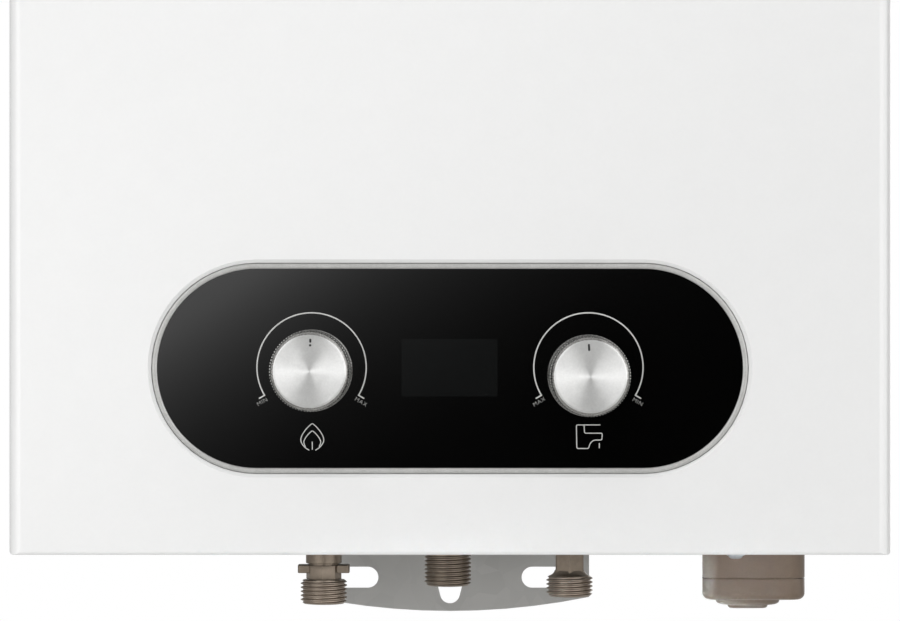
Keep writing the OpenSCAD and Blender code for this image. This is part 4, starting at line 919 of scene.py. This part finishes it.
def makeFittings():
    rim, end = fittingEdge["rim"], fittingEdge["end"]
    gas = fittings["gas"]
    piece = pipeThread("gasInlet", *gas["thread"])
    low, high = gas["octagonSpan"]
    combine(piece, makePrism("octagon", 8, gas["octagon"], low, high, turn=-4, edge=0.2), "UNION")
    w, d = gas["lugs"]
    low, high = gas["lugSpan"]
    combine(
        piece,
        makeBlock("lugs", (-w / 2, -d / 2, low), (w / 2, d / 2, high), corner=1.2, edge=0.35),
        "UNION",
    )
    foot = gas["thread"][1] - over
    low, top = gas["collarSpan"]
    slim, wide = gas["neck"], gas["collar"]
    collar = [
        (0, foot), (slim, foot), (slim, low - fittingEdge["step"]), (wide - rim, low), (wide, low + rim),
        (wide, top - end), (wide - end, top), (0, top),
    ]
    combine(piece, turnProfile("collar", collar, facets["fine"]), "UNION")
    boreOut(piece, gas["bore"], gas["thread"][0], top)
    x, y = gas["centre"]
    settle(movePiece(piece, (x, y, 0)), "casing", "nickelBrass", ("gas_inlet",), angle=30)
    paintShadeOnNeck(piece, gas["thread"][1])

    hot = fittings["hot"]
    piece = pipeThread("hotOutlet", *hot["thread"])
    foot, top, wide = hot["thread"][1] - over, hot["neckTop"], hot["neck"]
    neck = [(0, foot), (wide, foot), (wide, top - end), (wide - end, top), (0, top)]
    combine(piece, turnProfile("neck", neck, facets["fine"]), "UNION")
    low, high = hot["hexSpan"]
    combine(piece, makePrism("nut", 6, hot["hex"], low, high, turn=30, edge=0.4), "UNION")
    boreOut(piece, hot["bore"], hot["thread"][0], top)
    x, y = hot["centre"]
    # the whole hot outlet takes the darker copy of the plating: painted shade
    settle(movePiece(piece, (x, y, 0)), "casing", "paintedShadeNickel", ("hot_outlet",), angle=30)

    cold = fittings["cold"]
    piece = pipeThread("coldInlet", *cold["thread"])
    low, high = cold["stemSpan"]
    combine(piece, makePrism("stem", 6, cold["stem"], low, high, edge=0.3), "UNION")
    foot = cold["thread"][1]
    shoulder = [(radius, foot + height) for radius, height in cold["shoulder"]]
    combine(piece, turnProfile("shoulder", shoulder, facets["fine"]), "UNION")
    low, top = cold["spigotSpan"]
    start, wide = fittingEdge["start"], cold["spigot"]
    spigot = [
        (0, low), (wide - start, low), (wide, low + start), (wide, top - end), (wide - end, top), (0, top),
    ]
    combine(piece, turnProfile("spigot", spigot, facets["fine"]), "UNION")
    boreOut(piece, cold["bore"], cold["thread"][0], top)
    x, y = cold["centre"]
    settle(movePiece(piece, (x, y, 0)), "casing", "nickelBrass", ("cold_inlet",), angle=30)
    paintShadeOnNeck(piece, shoulder[-1][1])
    print("fittings made")


makeFittings()

# cover screws: pan head with cross recess, rolled thread
coverScrew = {
    "head": [
        (0, -2.2), (1.4, -2.15), (2.3, -1.9), (2.9, -1.45), (3.1, -1.0), (3.15, -0.75), (3.85, -0.7),
        (4.0, -0.5), (4.0, -0.1), (3.9, 0), (0, 0),
    ],
    "shank": (0, 8),
    "crest": 1.9,
    "root": 1.45,
    "pitch": 1.3,
    "steps": 32,
    "overlap": 0.2,  # how far the thread runs into the head
    "cross": (1.9, 0.55, 1.5),  # half length, half width and depth of the recess
    "crossStart": -4,
    "crossTaper": 0.72,
    "low": [(124, -142, 0), (-182.85, -40, 0)],
    "top": [(-124, -142, 590), (124, -142, 590)],
}


def makeCoverScrews():
    low, high = coverScrew["shank"]
    piece = makeThread(
        "coverScrew", low - coverScrew["overlap"], high, coverScrew["crest"], coverScrew["root"],
        coverScrew["pitch"], coverScrew["steps"],
    )
    combine(piece, turnProfile("head", coverScrew["head"], facets["small"]), "UNION")
    crown, start, taper = coverScrew["head"][0][1], coverScrew["crossStart"], coverScrew["crossTaper"]
    long, wide, deep = coverScrew["cross"]
    for x, y in ((long, wide), (wide, long)):
        cut = makeBlock("cross", (-x, -y, start), (x, y, crown + deep), corner=0.2)
        bpy.ops.object.mode_set(mode="EDIT")  # the recess narrows towards its floor
        pickVerts(cut, lambda place: place.z > crown)
        bpy.ops.transform.resize(value=(taper, taper, 1), center_override=(0, 0, 0))
        bpy.ops.object.mode_set(mode="OBJECT")
        combine(piece, cut, "DIFFERENCE")
    copies = [copyPiece(piece, "lowScrew", place) for place in coverScrew["low"]]
    piece.data.transform(Matrix.Rotation(math.pi, 4, "X"))
    copies += [copyPiece(piece, "topScrew", place) for place in coverScrew["top"]]
    bpy.data.objects.remove(piece)
    settle(joinPieces("coverScrews", copies), "casing", "zincPlate", ("cover_screws",))


makeCoverScrews()
print("screws made")


def softenNode(name, node, edge, sharp=38):  # a merged copy of a CAD node with its sharp edges rounded
    piece = bpy.data.objects.new(name, nodes[node].data.copy())
    piece.data.name = name
    bpy.context.scene.collection.objects.link(piece)
    choose(piece)
    bpy.ops.object.mode_set(mode="EDIT")
    bpy.ops.mesh.select_all(action="SELECT")
    bpy.ops.mesh.remove_doubles(threshold=weld)
    bpy.ops.mesh.dissolve_limited(angle_limit=math.radians(0.4))
    bpy.ops.mesh.select_mode(type="EDGE")
    bpy.ops.mesh.select_all(action="DESELECT")
    bpy.ops.mesh.edges_select_sharp(sharpness=math.radians(sharp))
    bpy.ops.mesh.bevel(offset=edge * mm, segments=2, affect="EDGES", clamp_overlap=True)
    bpy.ops.object.mode_set(mode="OBJECT")
    return piece


# battery lid and latch: drafted tray with a round rim and a shadow gap at the seam, twist knob below it
lidCorner, latchCorner = [[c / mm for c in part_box(node)[0]] for node in ("battery_lid", "battery_latch")]
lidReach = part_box("battery_lid")[1].x / mm
lidDepth = 76  # without the hinge
batteryLid = {
    "middle": (lidCorner[0] + lidReach) / 2,
    "half": (lidReach - lidCorner[0]) / 2,
    "span": (lidCorner[1], lidCorner[1] + lidDepth),
    "taper": 4.6,  # narrower by this on each side at the rear
    "corner": 7.0,
    "cuts": 12,
    "low": lidCorner[2],
    "height": 9.8,
    "floor": 1.8,
    "wall": 1.6,
    "rim": 3.0,
    "rimCuts": 8,
    "gap": (0.45, 0.9),  # height and depth of the groove at the seam
    "hinge": (4, 3.7, 3.0, 7.6),  # behind the rear wall, above the seam, radius, half length
    "barrelEdge": 0.3,
    "web": (6.9, 6.0),  # half width, and reach below the seam
    "leaf": 2,  # reach behind the pin
    "pinHole": (1.6, 20),  # radius, half length
}
batteryLatch = {
    "low": latchCorner[2],
    "grip": (18.2, 7.0, 2.1),
    "disc": (14.4, 4.1),
    "round": 1.7,
    "cuts": 6,
    "edge": 0.3,
    "shaft": 4.0,
    "shaftGap": 0.15,
    "cam": (16, 9),
    "camDrop": 1.5,  # below the seam
    "gap": 0.3,
}


def lidPlan(grow):  # outline of the tray, wider in front, with round corners
    radius = batteryLid["corner"] + grow
    x = batteryLid["half"] - batteryLid["corner"]
    front, rear = batteryLid["span"][0] + batteryLid["corner"], batteryLid["span"][1] - batteryLid["corner"]
    lean = math.degrees(math.atan2(batteryLid["taper"], rear - front))
    corners = [
        (x, front, -90, lean), (x - batteryLid["taper"], rear, lean, 90),
        (batteryLid["taper"] - x, rear, 90, 180 - lean), (-x, front, 180 - lean, 270),
    ]
    points = []
    for cx, cy, start, stop in corners:
        for i in range(batteryLid["cuts"] + 1):
            turn = math.radians(start + (stop - start) * i / batteryLid["cuts"])
            points.append((batteryLid["middle"] + cx + radius * math.cos(turn), cy + radius * math.sin(turn)))
    return points


def makePlate(name, outline, low, high):  # a flat outline raised to a plate
    piece = drawLine(name, [(x, y, low) for x, y in outline + outline[:1]])
    bpy.ops.mesh.remove_doubles(threshold=weld)
    bpy.ops.mesh.edge_face_add()
    bpy.ops.mesh.extrude_region_move(TRANSFORM_OT_translate={"value": (0, 0, (high - low) * mm)})
    closeMesh()
    return piece


def makeBar(name, radius, half, edge=0.0):  # round bar along X through the origin
    bar = makePrism(name, facets["small"], radius, -half, half, edge=edge)
    bar.data.transform(Matrix.Rotation(math.pi / 2, 4, "Y"))
    return bar


def makeBatteryLid():
    low, seam = batteryLid["low"], batteryLid["low"] + batteryLid["height"]
    floor = low + batteryLid["floor"]
    middle = batteryLid["middle"]
    rear = batteryLid["span"][1]
    piece = makePlate("batteryLid", lidPlan(0), low, seam)
    bpy.ops.object.mode_set(mode="EDIT")
    pickEdges(piece, lambda a, b: abs(a.z - low) < flush and abs(b.z - low) < flush)
    bpy.ops.mesh.bevel(offset=batteryLid["rim"] * mm, segments=batteryLid["rimCuts"], affect="EDGES")
    bpy.ops.object.mode_set(mode="OBJECT")
    combine(piece, makePlate("hollow", lidPlan(-batteryLid["wall"]), floor, seam + over), "DIFFERENCE")
    tall, deep = batteryLid["gap"]
    groove = makePlate("groove", lidPlan(over), seam - tall, seam + over)
    combine(groove, makePlate("lip", lidPlan(-deep), seam - tall - over, seam + 2 * over), "DIFFERENCE")
    combine(piece, groove, "DIFFERENCE")
    back, lift, radius, half = batteryLid["hinge"]
    wide, drop = batteryLid["web"]
    gap = batteryLatch["gap"]
    pinPlace = (middle, rear + back, seam + lift)
    combine(
        piece,
        makeBlock(
            "web", (middle - wide, rear - over / 2, seam - drop), (middle + wide, rear + over, seam - gap)
        ),
        "UNION",
    )
    leaf = makeBlock(
        "leaf",
        (middle - wide, rear + gap, seam - drop),
        (middle + wide, rear + back + batteryLid["leaf"], seam + lift),
    )
    barrel = makeBar("barrel", radius, half, batteryLid["barrelEdge"])
    combine(leaf, movePiece(barrel, pinPlace), "UNION")
    combine(piece, leaf, "UNION")
    combine(piece, movePiece(makeBar("pinHole", *batteryLid["pinHole"]), pinPlace), "DIFFERENCE")
    hole = batteryLatch["shaft"] + batteryLatch["shaftGap"]
    shaftHole = makePrism("shaftHole", facets["small"], hole, low - over, floor + over)
    combine(piece, movePiece(shaftHole, (middle, sum(batteryLid["span"]) / 2, 0)), "DIFFERENCE")
    settle(piece, "battery_door", "taupeAbs", ("battery_lid",), angle=30)


def makeBatteryLatch():
    low = batteryLatch["low"]
    long, wide, drop = batteryLatch["grip"]
    radius, tall = batteryLatch["disc"]
    foot, top = low + drop, low + drop + tall
    ease, edge, cuts = batteryLatch["round"], batteryLatch["edge"], batteryLatch["cuts"]
    turns = [math.radians(90 * i / cuts) for i in range(cuts + 1)]
    rim = [(radius - ease + ease * math.sin(t), foot + ease - ease * math.cos(t)) for t in turns]
    disc = [(0, foot)] + rim + [(radius, top - edge), (radius - edge, top), (0, top)]
    piece = turnProfile("batteryLatch", disc, facets["fine"])
    grip = makeBlock(
        "grip", (-long / 2, -wide / 2, low), (long / 2, wide / 2, foot + over), corner=3.4, edge=1.5, side=low
    )
    combine(piece, grip, "UNION")
    floor = batteryLid["low"] + batteryLid["floor"]
    shaft = makePrism("shaft", facets["small"], batteryLatch["shaft"], top - over, floor + over)
    combine(piece, shaft, "UNION")
    across, deep = batteryLatch["cam"]
    seam = batteryLid["low"] + batteryLid["height"]
    cam = makeBlock(
        "cam",
        (-across / 2, -deep / 2, floor + batteryLatch["gap"]),
        (across / 2, deep / 2, seam - batteryLatch["camDrop"]),
        corner=4.4,
        edge=0.4,
    )
    combine(piece, cam, "UNION")
    movePiece(piece, (batteryLid["middle"], sum(batteryLid["span"]) / 2, 0))
    settle(piece, "door_latch", "taupeAbs", ("battery_latch",), angle=30)


boxEdge = 0.2  # the battery box is the solid with its edges eased
settle(
    softenNode("batteryBox", "battery_box", boxEdge),
    "casing",
    "taupeAbs",
    ("battery_box",),
    angle=40,
)
makeBatteryLid()
makeBatteryLatch()
print("battery box moulded")
